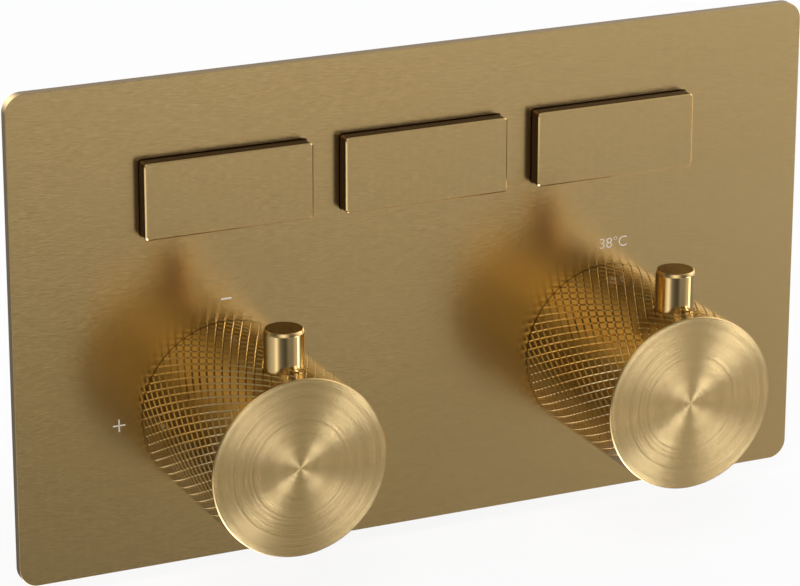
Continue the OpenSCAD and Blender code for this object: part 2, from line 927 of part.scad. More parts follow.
module temperature_spindle() {
    color(RAW_BRASS)
        union() {
            spindle_shank(cart_y + cut);
            y_bar(spindle_flange_r, cart_y + flange_gap, cart_y + spindle_flange_t);
            y_bar(spindle_tip_r, cart_y + cut, pusher_y + pusher_floor);
        }
}

module thermostat_housing() {
    hot_wall = hot_y - slot_half;
    color(PLASTIC)
        difference() {
            y_bar(housing_r, cart_y, thermo_end);
            y_bar(front_bore_r + seat, cart_y - cut, hot_wall);
            y_bar(thermo_bore_r, hot_wall - cut, thermo_end - thermo_lip_t);
            y_bar(thermo_bore_r - thermo_lip_w, hot_wall, thermo_end + cut);
            for (y = [hot_y, cold_y])
                for (a = [0:60:300])
                    rotate([0, a, 0])
                        translate([0, y, 0])
                            slot_cutter(slot_half);
            for (a = [0:60:300])
                rotate([0, a, 0])
                    translate([0, mixed_y - mixed_window_shift, 0])
                        z_bar(mixed_window_r, thermo_bore_r - cut, cartridge_r + cut);
            seal_grooves(thermo_seal_levels);
        }
}

// Radial slot, long around the housing and short along it
module slot_cutter(half) {
    across = 8;
    translate([-across / 2, -half, thermo_bore_r - cut])
        cube([across, 2 * half, cartridge_r - thermo_bore_r + 2 * cut]);
}

thermo_seal_front = 9;
thermo_seal_middle = 5;
thermo_seal_back = 4.2;
thermo_seal_levels = [cart_y + thermo_seal_front, hot_y + slot_half + thermo_seal_middle,
    cold_y + slot_half + thermo_seal_back];

module cartridge_seals() {
    color(RUBBER) {
        translate([temp_x, 0, knob_z])
            for (y = thermo_seal_levels)
                ring_seal(cartridge_r - cart_seal_d / 2 - seat / 2, (cart_seal_d - seat) / 2, y);
        translate([flow_x, 0, knob_z])
            for (y = flow_seal_levels)
                ring_seal(cartridge_r - cart_seal_d / 2 - seat / 2, (cart_seal_d - seat) / 2, y);
    }
}

module thermostat_pusher() {
    color(RAW_BRASS)
        difference() {
            y_bar(pusher_r, pusher_y, pusher_y + pusher_l);
            y_bar(spindle_tip_r + fit, pusher_y - cut, pusher_y + pusher_l);
            y_bar(pusher_cup_r, pusher_y + pusher_floor, pusher_y + pusher_l + cut);
        }
}

overload_turns = 3;
overload_wire = 0.5;
overload_spring_r = 4;

module overload_spring() {
    color(STEEL)
        rotate([-90, 0, 0])
            coil_spring(overload_spring_r, overload_wire, pusher_y + pusher_floor, wax_head_y,
                overload_turns);
}

wax_head_inset = 2;
wax_head_y = pusher_y + pusher_l - wax_head_inset;
wax_head_r = 5.5;
wax_head_t = 1;
wax_collar_w = 1;
wax_collar_t = 1;
wax_tip_chamfer = 1;

module wax_element() {
    color(COPPER)
        y_turn([[0, wax_head_y], [wax_head_r, wax_head_y], [wax_head_r, wax_head_y + wax_head_t],
            [wax_stem_r, wax_head_y + wax_head_t], [wax_stem_r, wax_y0 - wax_collar_t],
            [wax_r + wax_collar_w, wax_y0 - wax_collar_t], [wax_r + wax_collar_w, wax_y0],
            [wax_r, wax_y0], [wax_r, wax_y1 - wax_tip_chamfer],
            [wax_r - wax_tip_chamfer, wax_y1], [0, wax_y1]]);
}

module thermostat_shuttle() {
    color(WHITE)
        difference() {
            y_bar(shuttle_r, shuttle_y0, shuttle_y1);
            y_bar(shuttle_r - shuttle_wall, shuttle_y0 - cut, wax_y0);
            y_bar(shuttle_r - shuttle_wall, wax_y0 + spider_t, shuttle_y1 + cut);
            y_bar(wax_r + seat, wax_y0 - cut, wax_y0 + spider_t + cut);
            for (a = [0:45:315])
                rotate([0, a, 0])
                    translate([0, 0, spider_hole_pitch_r])
                        y_bar(spider_hole_r, wax_y0 - cut, wax_y0 + spider_t + cut);
        }
}

thermo_spring_turns = 4;
thermo_spring_wire = 0.7;

module thermostat_spring() {
    color(STEEL)
        rotate([-90, 0, 0])
            coil_spring(shuttle_r - shuttle_wall / 2, thermo_spring_wire, shuttle_y1,
                thermo_end - thermo_lip_t, thermo_spring_turns);
}

// Valve body
module at_flow() {
    translate([flow_x, 0, knob_z])
        children();
}

module at_temp() {
    translate([temp_x, 0, knob_z])
        children();
}

module at_buttons() {
    for (x = [left_x, 0, right_x])
        translate([x, 0, button_z])
            children();
}

module body_outside() {
    gallery_wall_r = gallery_r + cast_wall;
    link_wall_r = passage_r + cast_wall;
    at_flow()
        y_bar(flow_barrel_r, setback, body_back);
    at_temp()
        y_bar(barrel_r, setback, body_back);
    at_buttons() {
        y_bar(push_barrel_r, setback, push_seat_y + push_seat_t);
        y_bar(push_tail_r, push_seat_y, push_back);
    }
    translate([0, mixed_y, knob_z])
        x_bar(link_wall_r, flow_x - flow_barrel_r - cast_wall, temp_x);
    translate([0, feed_y, feed_z])
        x_bar(gallery_wall_r, left_x - push_r, feed_end);
    translate([flow_x, flow_window_y, 0])
        z_bar(riser_r + cast_wall, knob_z - flow_barrel_r - cast_wall, feed_z);
    translate([0, outlet_y, button_z]) {
        x_bar(boss_r, -side_port_x, left_x);
        x_bar(boss_r, right_x, side_port_x);
    }
    translate([0, outlet_y, 0]) {
        z_bar(outlet_r + cast_wall, bottom_port_z + union_l, button_z);
        z_bar(boss_r, bottom_port_z, bottom_port_z + union_l + boss_shoulder_l);
    }
    for (p = [[hot_x, hot_y], [cold_x, cold_y]])
        translate([p[0], p[1], 0]) {
            z_bar(boss_r, bottom_port_z, bottom_port_z + union_l + check_l + 2 * cast_wall);
            z_bar(gallery_wall_r, bottom_port_z + union_l, knob_z);
        }
    translate([0, hot_y, knob_z])
        x_bar(link_wall_r, hot_x - link_start, temp_x);
    translate([0, cold_y, knob_z])
        x_bar(link_wall_r, temp_x, cold_x + link_start);
    translate([flow_x, outlet_y - cast_wall, knob_z - cast_wall])
        cube([temp_x - flow_x, 2 * cast_wall, 2 * cast_wall]);
    for (x = [-pillar_x, pillar_x]) {
        translate([x, 0, pillar_top_z])
            y_bar(pillar_r, feed_y, bracket_y);
        translate([x, 0, pillar_low_z])
            y_bar(pillar_r, mixed_y - passage_r, bracket_y);
    }
}

module body_passages() {
    at_flow() {
        y_bar(cartridge_r, setback - cut, flow_end);
        y_bar(cartridge_r - flow_floor_step, flow_end - cut, mixed_y + passage_r + cut);
        y_bar(cartridge_r + annulus_depth, flow_window_y - flow_annulus_half,
            flow_window_y + flow_annulus_half);
    }
    at_temp() {
        y_bar(cartridge_r, setback - cut, thermo_end);
        y_bar(cartridge_r + annulus_depth, hot_y - annulus_half, hot_y + annulus_half);
        y_bar(cartridge_r + annulus_depth, cold_y - annulus_half, cold_y + annulus_half);
        y_bar(cartridge_r + annulus_depth, mixed_y - mixed_half, mixed_y + mixed_half);
    }
    at_buttons() {
        y_bar(push_r, setback - cut, push_seat_y + poppet_gap);
        y_bar(push_r - push_annulus_depth, push_seat_y, push_end);
        y_bar(push_r + push_annulus_depth, push_window_y0 - push_annulus_margin,
            push_window_y1 + push_annulus_margin);
    }
    translate([0, mixed_y, knob_z])
        x_bar(passage_r, flow_x - flow_barrel_r - cast_wall - cut, temp_x - link_end);
    translate([0, feed_y, feed_z])
        x_bar(gallery_r, left_x - push_r + cast_wall, feed_end + cut);
    translate([flow_x, flow_window_y, 0])
        z_bar(riser_r, knob_z - flow_barrel_r - cast_wall - cut, feed_z);
    translate([0, outlet_y, button_z]) {
        x_bar(outlet_r, -side_port_x, left_x);
        x_bar(outlet_r, right_x, side_port_x);
        x_bar(union_r, -side_port_x - cut, -side_port_x + union_l);
        x_bar(union_r, side_port_x - union_l, side_port_x + cut);
    }
    translate([0, outlet_y, 0]) {
        z_bar(outlet_r, bottom_port_z, button_z);
        z_bar(union_r, bottom_port_z - cut, bottom_port_z + union_l);
    }
    for (p = [[hot_x, hot_y], [cold_x, cold_y]])
        translate([p[0], p[1], 0]) {
            z_bar(gallery_r, bottom_port_z, knob_z);
            z_bar(valve_seat_r, bottom_port_z, bottom_port_z + union_l + filter_t + check_l);
            z_bar(union_r, bottom_port_z - cut, bottom_port_z + union_l);
        }
    translate([0, hot_y, knob_z])
        x_bar(passage_r, hot_x - link_start - cut, temp_x - link_end);
    translate([0, cold_y, knob_z])
        x_bar(passage_r, temp_x + link_end, cold_x + link_start + cut);
    for (x = [-pillar_x, pillar_x])
        for (z = [pillar_top_z, pillar_low_z])
            translate([x, 0, z])
                y_bar(screw_r, bracket_y - screw_depth, bracket_y + cut);
}

module valve_body() {
    color(RAW_BRASS)
        difference() {
            body_outside();
            body_passages();
        }
}

// Screwed plugs in the ends of the drilled passages, each with a hexagon socket
plug_l = 4;

module plug(r) {
    difference() {
        z_bar(r - seat, -plug_l, 0);
        translate([0, 0, -plug_l / 2])
            cylinder(r = r / 2, h = plug_l, $fn = 6);
    }
}

module gallery_plugs() {
    color(RAW_BRASS) {
        translate([flow_x - flow_barrel_r - cast_wall, mixed_y, knob_z])
            rotate([0, -90, 0])
                plug(passage_r);
        translate([feed_end, feed_y, feed_z])
            rotate([0, 90, 0])
                plug(gallery_r);
        translate([flow_x, flow_window_y, knob_z - flow_barrel_r - cast_wall])
            rotate([180, 0, 0])
                plug(riser_r);
        translate([hot_x - link_start, hot_y, knob_z])
            rotate([0, -90, 0])
                plug(passage_r);
        translate([cold_x + link_start, cold_y, knob_z])
            rotate([0, 90, 0])
                plug(passage_r);
    }
}

// A pipe union lies along Z with its mouth at the origin, facing -Z
module pipe_union() {
    color(RAW_BRASS)
        difference() {
            z_bar(union_r - seat, 0, union_l);
            z_bar(port_r, -cut, port_depth);
            z_bar(valve_seat_r - seat_lip, port_depth - cut, union_l + cut);
        }
}

module inlet_union(x, y) {
    translate([x, y, bottom_port_z])
        pipe_union();
}

module side_union(side) {
    translate([side * side_port_x, outlet_y, button_z])
        rotate([0, -side * 90, 0])
            pipe_union();
}

// Check valve: a sleeve with a guide web, and a disc on a stem that the spring holds shut
module check_valve() {
    web = 1.5;
    z0 = filter_t;
    union() {
        difference() {
            z_bar(valve_seat_r - seat, z0, z0 + check_l);
            z_bar(passage_r - check_bore_step, z0 - cut, z0 + check_l + cut);
        }
        for (a = [0, 90])
            rotate([0, 0, a])
                translate([-passage_r, -web / 2, z0 + check_l - 2 * web])
                    cube([passage_d, web, 2 * web]);
        z_bar(web, z0 + 2 * web, z0 + check_l);
        z_bar(passage_r - 2 * web, z0 + 2 * web, z0 + 3 * web);
    }
}

module filter_disc() {
    hole_r = 0.8;
    pitch = 2.6;
    difference() {
        z_bar(valve_seat_r - seat, 0, filter_t - seat);
        for (i = [-2:2])
            for (j = [-2:2])
                if (abs(i + j) <= 2)
                    translate([(i + j / 2) * pitch, j * pitch * sin(60), -cut])
                        cylinder(r = hole_r, h = filter_t + 2 * cut, $fn = 16);
    }
}

module at_inlets() {
    for (p = [[hot_x, hot_y], [cold_x, cold_y]])
        translate([p[0], p[1], bottom_port_z + union_l])
            children();
}

module check_valves() {
    color(WHITE)
        at_inlets()
            check_valve();
}

module inlet_filters() {
    color(STEEL)
        at_inlets()
            filter_disc();
}

// Pressed steel bracket: a middle sheet on the body's pillars, and two ears set back to the studs
bracket_half = [[ear_inner, bracket_y], [ear_inner, ear_back - bracket_t],
    [ear_outer, ear_back - bracket_t], [ear_outer, ear_back],
    [ear_inner - bracket_t, ear_back], [ear_inner - bracket_t, bracket_y + bracket_t]];

module mounting_bracket() {
    last = len(bracket_half) - 1;
    other_half = [for (i = [last:-1:0]) [-bracket_half[i][0], bracket_half[i][1]]];
    color(STEEL)
        difference() {
            translate([0, 0, bracket_z - bracket_half_z])
                linear_extrude(2 * bracket_half_z)
                    polygon(concat(bracket_half, other_half));
            for (x = [-pillar_x, pillar_x])
                for (z = [pillar_top_z, pillar_low_z])
                    translate([x, 0, z])
                        y_bar(screw_r + screw_hole_gap, bracket_y - cut, bracket_y + bracket_t + cut);
            for (sx = [-1, 1])
                for (sz = [-1, 1])
                    translate([sx * slot_pitch_x / 2, ear_back, bracket_z + sz * slot_pitch_z / 2])
                        y_slab(slot_l, slot_w, (slot_w - slot_flat) / 2, -bracket_t - cut, cut);
        }
}

module bracket_screws() {
    color(STEEL)
        for (x = [-pillar_x, pillar_x])
            for (z = [pillar_top_z, pillar_low_z])
                translate([x, 0, z]) {
                    back = bracket_y + bracket_t;
                    difference() {
                        union() {
                            y_bar(screw_r - seat, bracket_y - screw_depth + screw_tip_gap, back + cut);
                            y_bar(screw_head_r, back, back + screw_head_t);
                        }
                        rotate([-90, 0, 0])
                            translate([0, 0, back + screw_socket_floor])
                                cylinder(r = screw_socket_r, h = screw_head_t, $fn = 6);
                    }
                }
}

wall_plate();
plate_seal();
button_guide();
translate([left_x, 0, button_z]) button_cap();  // button_cap_left
translate([0, 0, button_z]) button_cap();  // button_cap_centre
translate([right_x, 0, button_z]) button_cap();  // button_cap_right
translate([left_x, 0, button_z]) push_stem();  // push_stem_left
translate([0, 0, button_z]) push_stem();  // push_stem_centre
translate([right_x, 0, button_z]) push_stem();  // push_stem_right
translate([left_x, 0, button_z]) push_poppet();  // push_poppet_left
translate([0, 0, button_z]) push_poppet();  // push_poppet_centre
translate([right_x, 0, button_z]) push_poppet();  // push_poppet_right
translate([left_x, 0, button_z]) push_spring();  // push_spring_left
translate([0, 0, button_z]) push_spring();  // push_spring_centre
translate([right_x, 0, button_z]) push_spring();  // push_spring_right
translate([left_x, 0, button_z]) push_housing();  // push_housing_left
translate([0, 0, button_z]) push_housing();  // push_housing_centre
translate([right_x, 0, button_z]) push_housing();  // push_housing_right
push_seals();
at_flow() flow_knob();
at_flow() knob_grip();  // flow_knob_grip
at_flow() flow_pin();
at_flow() grub_screw();  // flow_grub_screw
at_flow() flow_spindle();
at_flow() flow_moving_disc();
at_flow() flow_fixed_disc();
at_flow() flow_disc_seal();
at_flow() flow_housing();
at_flow() gland_nut();  // flow_gland_nut
at_flow() shroud();  // flow_shroud
at_flow() plate_ring();  // flow_plate_ring
at_temp() knob_core(pin_r + fit);  // temperature_knob
at_temp() knob_grip();  // temperature_knob_grip
at_temp() safety_button();
at_temp() safety_button_spring();
at_temp() grub_screw();  // temperature_grub_screw
at_temp() temperature_spindle();
at_temp() stop_ring();  // temperature_stop_ring
at_temp() gland_nut();  // temperature_gland_nut
at_temp() shroud();  // temperature_shroud
at_temp() plate_ring();  // temperature_plate_ring
at_temp() thermostat_housing();
at_temp() thermostat_pusher();
at_temp() overload_spring();
at_temp() wax_element();
at_temp() thermostat_shuttle();
at_temp() thermostat_spring();
cartridge_seals();
valve_body();
gallery_plugs();
inlet_union(hot_x, hot_y);  // hot_inlet_union
inlet_union(cold_x, cold_y);  // cold_inlet_union
side_union(-1);  // outlet_union_left
inlet_union(0, outlet_y);  // outlet_union_centre
side_union(1);  // outlet_union_right
check_valves();
inlet_filters();
mounting_bracket();
bracket_screws();
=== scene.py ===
# %% [markdown]
# ## A brushed brass shower valve
# The real object is a wall plate of brushed brass with three push buttons and two knurled knobs, and a
# cast brass body behind it that the wall hides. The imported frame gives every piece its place, so this
# lesson only makes finer surfaces, finishes, a camera and light. All lengths are in metres.

import math

import bmesh
import bpy
from mathutils import Matrix, Vector


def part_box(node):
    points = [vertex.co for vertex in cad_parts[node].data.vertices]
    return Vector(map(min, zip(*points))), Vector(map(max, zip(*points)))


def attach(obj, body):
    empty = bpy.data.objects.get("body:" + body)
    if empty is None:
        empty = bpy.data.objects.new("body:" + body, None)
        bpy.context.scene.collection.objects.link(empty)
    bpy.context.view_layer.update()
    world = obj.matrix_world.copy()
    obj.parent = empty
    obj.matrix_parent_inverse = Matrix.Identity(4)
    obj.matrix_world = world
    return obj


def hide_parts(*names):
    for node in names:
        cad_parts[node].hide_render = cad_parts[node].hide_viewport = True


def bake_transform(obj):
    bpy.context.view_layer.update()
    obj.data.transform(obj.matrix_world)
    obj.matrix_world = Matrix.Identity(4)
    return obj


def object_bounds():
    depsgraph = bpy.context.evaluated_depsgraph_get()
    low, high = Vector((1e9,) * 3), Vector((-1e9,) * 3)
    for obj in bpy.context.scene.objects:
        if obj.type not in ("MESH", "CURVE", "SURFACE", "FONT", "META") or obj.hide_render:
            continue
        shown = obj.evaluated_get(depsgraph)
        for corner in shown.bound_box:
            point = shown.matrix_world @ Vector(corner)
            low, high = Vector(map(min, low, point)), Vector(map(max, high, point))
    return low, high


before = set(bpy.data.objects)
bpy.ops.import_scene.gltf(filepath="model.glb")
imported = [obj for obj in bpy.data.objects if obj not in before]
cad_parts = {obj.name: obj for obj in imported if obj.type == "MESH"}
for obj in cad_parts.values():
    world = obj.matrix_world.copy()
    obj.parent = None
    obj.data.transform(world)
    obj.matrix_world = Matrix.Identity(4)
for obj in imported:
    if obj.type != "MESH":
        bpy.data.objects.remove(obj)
cad_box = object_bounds()
MM = 0.001

# %% [markdown]
# ## Shapes, meshes and objects
# A shape takes the same few steps each time: a bmesh becomes a mesh, the mesh gets an object, and the
# object's modifiers make a new mesh. Each step has one helper, so that the later cells stay short.


# %% From a shape to a mesh and an object
def plain_mesh(name, shape):
    """The mesh of a bmesh, which is freed."""
    mesh = bpy.data.meshes.new(name)
    shape.to_mesh(mesh)
    shape.free()
    return mesh


def placed(name, data):
    """An object that is linked to the scene."""
    thing = bpy.data.objects.new(name, data)
    bpy.context.scene.collection.objects.link(thing)
    return thing


def worked_mesh(holder):
    """The mesh that an object's modifiers make. The object and its modifiers go."""
    ready = holder.evaluated_get(bpy.context.evaluated_depsgraph_get())
    mesh = bpy.data.meshes.new_from_object(ready)
    holder.modifiers.clear()
    bpy.data.objects.remove(holder)
    return mesh


print("helpers:", plain_mesh.__name__, placed.__name__, worked_mesh.__name__)

# %% [markdown]
# ## Where things are
# Each measure comes from the box of a CAD node, so a finer piece sits where the plain one does. The
# user stands on the -Y side, so the lowest Y of a box is its front.

# %% Measures of the plate, the buttons and the knobs
SIDES = ("left", "centre", "right")
KNOBS = {"flow": "flow_control", "temperature": "temperature_control"}

plate_low, plate_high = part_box("wall_plate")
plate_size = plate_high - plate_low
knob_centre = {}
for knob in KNOBS:
    low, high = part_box(knob + "_knob_grip")
    knob_centre[knob] = (low + high) / 2
knob_low, knob_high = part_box("flow_knob")
knob_r = (knob_high.x - knob_low.x) / 2
print("plate", [round(v / MM, 2) for v in plate_size], "knob radius", round(knob_r / MM, 2))

# %% [markdown]
# ## The camera
# A long lens seen from the left and a little above gives the photograph's gentle perspective. The
# angles and the distance were solved from the plate's four corners and the knobs' round faces.

# %% Camera
VIEW_AZIMUTH = math.radians(-24.881)
VIEW_ELEVATION = math.radians(18.878)
VIEW_ROLL = math.radians(0.082)
VIEW_OFFSET = Vector((4.136, 2.264, 1016.005)) * MM
SENSOR_WIDTH = 36.0
FOCAL_PIXELS = 3787.14
FRAME_PIXELS = 800
FAR_CLIP = 20.0


def camera_axes(azimuth, elevation, roll):
    """The directions to the right, up and forward of a camera that looks at the object."""
    forward = Vector((-math.sin(azimuth) * math.cos(elevation), math.cos(azimuth) * math.cos(elevation),
                      -math.sin(elevation)))
    right = Vector((math.cos(azimuth), math.sin(azimuth), 0))
    up = right.cross(forward)
    turned_right = right * math.cos(roll) + up * math.sin(roll)
    turned_up = up * math.cos(roll) - right * math.sin(roll)
    return turned_right, turned_up, forward


right, up, forward = camera_axes(VIEW_AZIMUTH, VIEW_ELEVATION, VIEW_ROLL)
camera_data = bpy.data.cameras.new("camera")
camera_data.sensor_width = SENSOR_WIDTH
camera_data.lens = FOCAL_PIXELS / FRAME_PIXELS * SENSOR_WIDTH
camera_data.clip_end = FAR_CLIP
camera = placed("camera", camera_data)
place = -(right * VIEW_OFFSET.x + up * VIEW_OFFSET.y + forward * VIEW_OFFSET.z)
camera.matrix_world = Matrix((
    (right.x, up.x, -forward.x, place.x),
    (right.y, up.y, -forward.y, place.y),
    (right.z, up.z, -forward.z, place.z),
    (0, 0, 0, 1)))
bpy.context.scene.camera = camera
print("camera at", [round(v, 3) for v in place])

# %% [markdown]
# ## Node trees as sums
# A node tree is easier to read as arithmetic. A Signal stands for one socket, and adding or multiplying
# it adds the Math node that does so. A Sheet holds a tree and adds every other kind of node. A Mix node
# has sockets for each kind of value: its two colours go in at sockets 6 and 7 and come out at 2.


# %% Signals and sheets
COLOUR_SOCKETS = (6, 7, 2)


def maths(tree, operation, *values):
    """Adds one Math node and gives its result."""
    node = tree.nodes.new("ShaderNodeMath")
    node.operation = operation
    for slot, value in enumerate(values):
        feed(tree, value, node.inputs[slot])
    return Signal(tree, node.outputs[0])


class Signal:
    """One output socket, on which plain arithmetic adds Math nodes."""

    def __init__(self, tree, socket):
        self.tree = tree
        self.socket = socket

    def math(self, operation, *others):
        return maths(self.tree, operation, self, *others)

    def __add__(self, other):
        return self.math("ADD", other)

    def __sub__(self, other):
        return self.math("SUBTRACT", other)

    def __rsub__(self, other):
        return maths(self.tree, "SUBTRACT", other, self)

    def __mul__(self, other):
        return self.math("MULTIPLY", other)

    def __truediv__(self, other):
        return self.math("DIVIDE", other)

    __radd__ = __add__
    __rmul__ = __mul__


def feed(tree, value, socket):
    """Links a signal to a socket, or sets the socket to a plain value."""
    if isinstance(value, Signal):
        tree.links.new(value.socket, socket)
    else:
        socket.default_value = value


class Sheet:
    """A node tree, the one method that adds a node to it, and two short forms of that method."""

    def __init__(self, tree):
        self.tree = tree

    def node(self, kind, settings=None, inputs=None, output=0):
        """Adds one node: its settings first, then the values or links of its sockets."""
        node = self.tree.nodes.new(kind)
        for name, value in (settings or {}).items():
            setattr(node, name, value)
        for key, value in (inputs or {}).items():
            feed(self.tree, value, node.inputs[key])
        return Signal(self.tree, node.outputs[output]) if node.outputs else node

    def vector(self, operation, first, second=None, scale=None, output=0):
        """Sums on vectors: one Vector Math node."""
        inputs = {0: first}
        if second is not None:
            inputs[1] = second
        if scale is not None:
            inputs["Scale"] = scale
        return self.node("ShaderNodeVectorMath", {"operation": operation}, inputs, output)

    def mixed(self, factor, low, high):
        """A colour that goes from low to high as the factor goes from 0 to 1."""
        first, second, result = COLOUR_SOCKETS
        low, high = (c if isinstance(c, Signal) else (*c, 1.0) for c in (low, high))
        return self.node("ShaderNodeMix", {"data_type": "RGBA"}, {0: factor, first: low, second: high},
                         result)


print("signals and sheets use colour sockets", COLOUR_SOCKETS)

# %% [markdown]
# ## Finishes
# Brass that has been brushed, spun, knurled or cast is one metal with four surfaces. A Finish is a
# material whose Principled shader takes plain numbers for what is even, and signals for what varies.


# %% A finish
class Finish(Sheet):
    """A procedural material with one Principled shader."""

    def __init__(self, name):
        self.material = bpy.data.materials.new(name)
        self.material.use_nodes = True
        super().__init__(self.material.node_tree)
        self.tree.nodes.clear()
        self.place = self.node("ShaderNodeTexCoord", output="Object")

    def stretched(self, scale, centre=(0.0, 0.0, 0.0)):
        """The piece's own coordinates, moved to a centre and stretched."""
        return self.vector("MULTIPLY", self.vector("SUBTRACT", self.place, centre), scale)

    def noise(self, scale, detail=2.0, roughness=0.5):
        """Noise with a given number of grains a metre along X, Y and Z."""
        return self.node("ShaderNodeTexNoise", {"noise_dimensions": "3D"}, {
            "Vector": self.stretched(scale), "Scale": 1.0, "Detail": detail, "Roughness": roughness})

    def bump(self, height, distance):
        """A normal that follows a height. The distance is the height of a full 1, in metres."""
        return self.node("ShaderNodeBump", None, {
            "Strength": 1.0, "Distance": distance, "Height": height})

    def leaning(self, lean):
        """The surface's normal, leaning by a vector in the piece's own directions."""
        turned_lean = self.node("ShaderNodeVectorTransform", {
            "vector_type": "VECTOR", "convert_from": "OBJECT", "convert_to": "WORLD"}, {0: lean})
        normal = self.node("ShaderNodeNewGeometry", output="Normal")
        return self.vector("NORMALIZE", self.vector("ADD", normal, turned_lean))

    def finish(self, **sockets):
        """Ends the tree in a Principled shader. An underscore in a socket's name stands for a space."""
        inputs = {name.replace("_", " "): value for name, value in sockets.items()}
        shader = self.node("ShaderNodeBsdfPrincipled", None, inputs)
        self.node("ShaderNodeOutputMaterial", None, {"Surface": shader})
        return self.material


BRASS_DEEP = (0.545, 0.372, 0.134)
BRASS_PALE = (0.615, 0.428, 0.163)
print("brass from", BRASS_DEEP, "to", BRASS_PALE)

# %% [markdown]
# ## Brushed brass
# Brushing leaves hair lines along the plate, each a tiny groove that leans the metal up or down and
# never sideways. So a noise that is squeezed hard across the lines leans the normal up and down, which
# blurs a reflection along Z only, and coarser lines of the same kind shade the colour. Where a face no
# longer points to the front its colour changes: the plate's sides take the plain deep brass, and the
# buttons' sides take a dark brown that is painted shade for the gap round each cap.


# %% Brushed brass
HAIR_LINES = (400.0, 400.0, 110000.0)
SEEN_LINES = (260.0, 5200.0, 5200.0)
BRUSH_CLOUDS = (14.0, 30.0, 30.0)
BRUSH_TILT = 0.36
LINE_SHARE = 0.7
BRUSH_ROUGH = 0.18
LINE_ROUGH = 0.04
SIDE_UP_TO = 0.3
FACE_FROM = 0.6
# Painted shade: the buttons' sides are dark brown to stand for the shade in the gap round each cap.
CAP_SIDE_SHADE = (0.20, 0.12, 0.055)


def brushed_brass(name, side_tone_and_shade):
    """Brushed brass, with another colour for the sides, which on the buttons is painted shade."""
    finish = Finish(name)
    hairs = finish.noise(HAIR_LINES, detail=1.0)
    lines = finish.noise(SEEN_LINES, detail=3.0, roughness=0.6)
    clouds = finish.noise(BRUSH_CLOUDS, detail=1.0)
    lean = finish.node("ShaderNodeCombineXYZ", None, {"Z": (hairs - 0.5) * BRUSH_TILT})
    own_normal = finish.node("ShaderNodeTexCoord", output="Normal")
    to_front = finish.node("ShaderNodeSeparateXYZ", None, {0: own_normal}, output="Y")
    # 1 where the face points to the front, 0 on the sides, which on the buttons carry painted shade.
    brushed = finish.node("ShaderNodeMapRange", None, {
        "Value": to_front.math("ABSOLUTE"), "From Min": SIDE_UP_TO, "From Max": FACE_FROM})
    face = finish.mixed(lines * LINE_SHARE + clouds * (1.0 - LINE_SHARE), BRASS_DEEP, BRASS_PALE)
    return finish.finish(
        Base_Color=finish.mixed(brushed, side_tone_and_shade, face),
        Roughness=BRUSH_ROUGH + lines * LINE_ROUGH,
        Metallic=1.0,
        Normal=finish.leaning(lean))


BRUSHED = brushed_brass("brushed_brass", BRASS_DEEP)
CAP_BRASS_SIDE_SHADE = brushed_brass("button_brass_side_shade", CAP_SIDE_SHADE)
print("made", BRUSHED.name, CAP_BRASS_SIDE_SHADE.name)

# %% [markdown]
# ## Spun brass
# The knobs' faces are finished in a lathe, so their lines are rings that tilt the metal towards the
# axis and away from it. The rings are finer than a pixel, so no bump can show them. Instead a noise of
# the distance from the axis leans the normal along the radius, and each light spreads into the pair of
# bright wedges that turned metal shows.


# %% Spun brass
RINGS_PER_METRE = 80000.0
BANDS_PER_METRE = 1500.0
BAND_SHARE = 0.02
RING_TILT = 1.75
BAND_TONES = 0.5
SPUN_ROUGH = 0.13
BAND_ROUGH = 0.03


def spun_brass(name, centre):
    """Spun brass, with its rings round an axis that runs front to back through the centre."""
    finish = Finish(name)
    flat = finish.stretched((1.0, 0.0, 1.0), centre)
    radius = finish.vector("LENGTH", flat, output="Value")

    def ring_noise(per_metre, detail, roughness):
        return finish.node("ShaderNodeTexNoise", {"noise_dimensions": "1D"}, {
            "W": radius * per_metre, "Scale": 1.0, "Detail": detail, "Roughness": roughness})

    rings = ring_noise(RINGS_PER_METRE, detail=1.0, roughness=0.5)
    bands = ring_noise(BANDS_PER_METRE, detail=3.0, roughness=0.7)
    tone = bands * BAND_TONES + (1.0 - BAND_TONES) / 2
    sway = rings + bands * BAND_SHARE - (0.5 + BAND_SHARE / 2)
    lean = finish.vector("SCALE", finish.vector("NORMALIZE", flat), scale=sway * RING_TILT)
    return finish.finish(
        Base_Color=finish.mixed(tone, BRASS_DEEP, BRASS_PALE),
        Roughness=SPUN_ROUGH + bands * BAND_ROUGH,
        Metallic=1.0,
        Normal=finish.leaning(lean))


SPUN = {knob: spun_brass(knob + "_spun_brass", tuple(knob_centre[knob])) for knob in KNOBS}
print("made", [m.name for m in SPUN.values()])

# %% [markdown]
# ## Knurled and polished brass
# The knurl and the pins are polished, not brushed. They are smoother than the plate, with a little haze
# from handling and a grit that is too fine to see but softens a reflection. The pins are the smoothest.


# %% Polished brass
HAZE_CLOUDS = (160.0, 160.0, 160.0)
FINE_GRIT = (5200.0, 5200.0, 900.0)
GRIT_HEIGHT = 0.003 * MM


def polished_brass(name, roughness, haze):
    """Polished brass, whose roughness grows by the haze where it was handled most."""
    finish = Finish(name)
    clouds = finish.noise(HAZE_CLOUDS, detail=3.0)
    grit = finish.noise(FINE_GRIT, detail=1.0)
    return finish.finish(
        Base_Color=finish.mixed(clouds, BRASS_DEEP, BRASS_PALE),
        Roughness=roughness + clouds * haze,
        Metallic=1.0,
        Normal=finish.bump(grit, GRIT_HEIGHT))


KNURLED = polished_brass("knurled_brass", roughness=0.12, haze=0.10)
POLISHED = polished_brass("pin_brass", roughness=0.08, haze=0.08)
print("made", KNURLED.name, POLISHED.name)

# %% [markdown]
# ## Rounded outlines
# Real corners are never sharp, and the thin bright line that a rounded edge catches is what makes metal
# look solid. One helper rounds the corners of any outline, for the plate, the buttons and the marks. The
# lathe turns a profile round an axis, and every finished piece goes through new_piece.


# %% Rounded outlines and the lathe
ARC_STEPS = 6
TOUCHING = 1e-7
FLAT_FACES_FIRST = 100


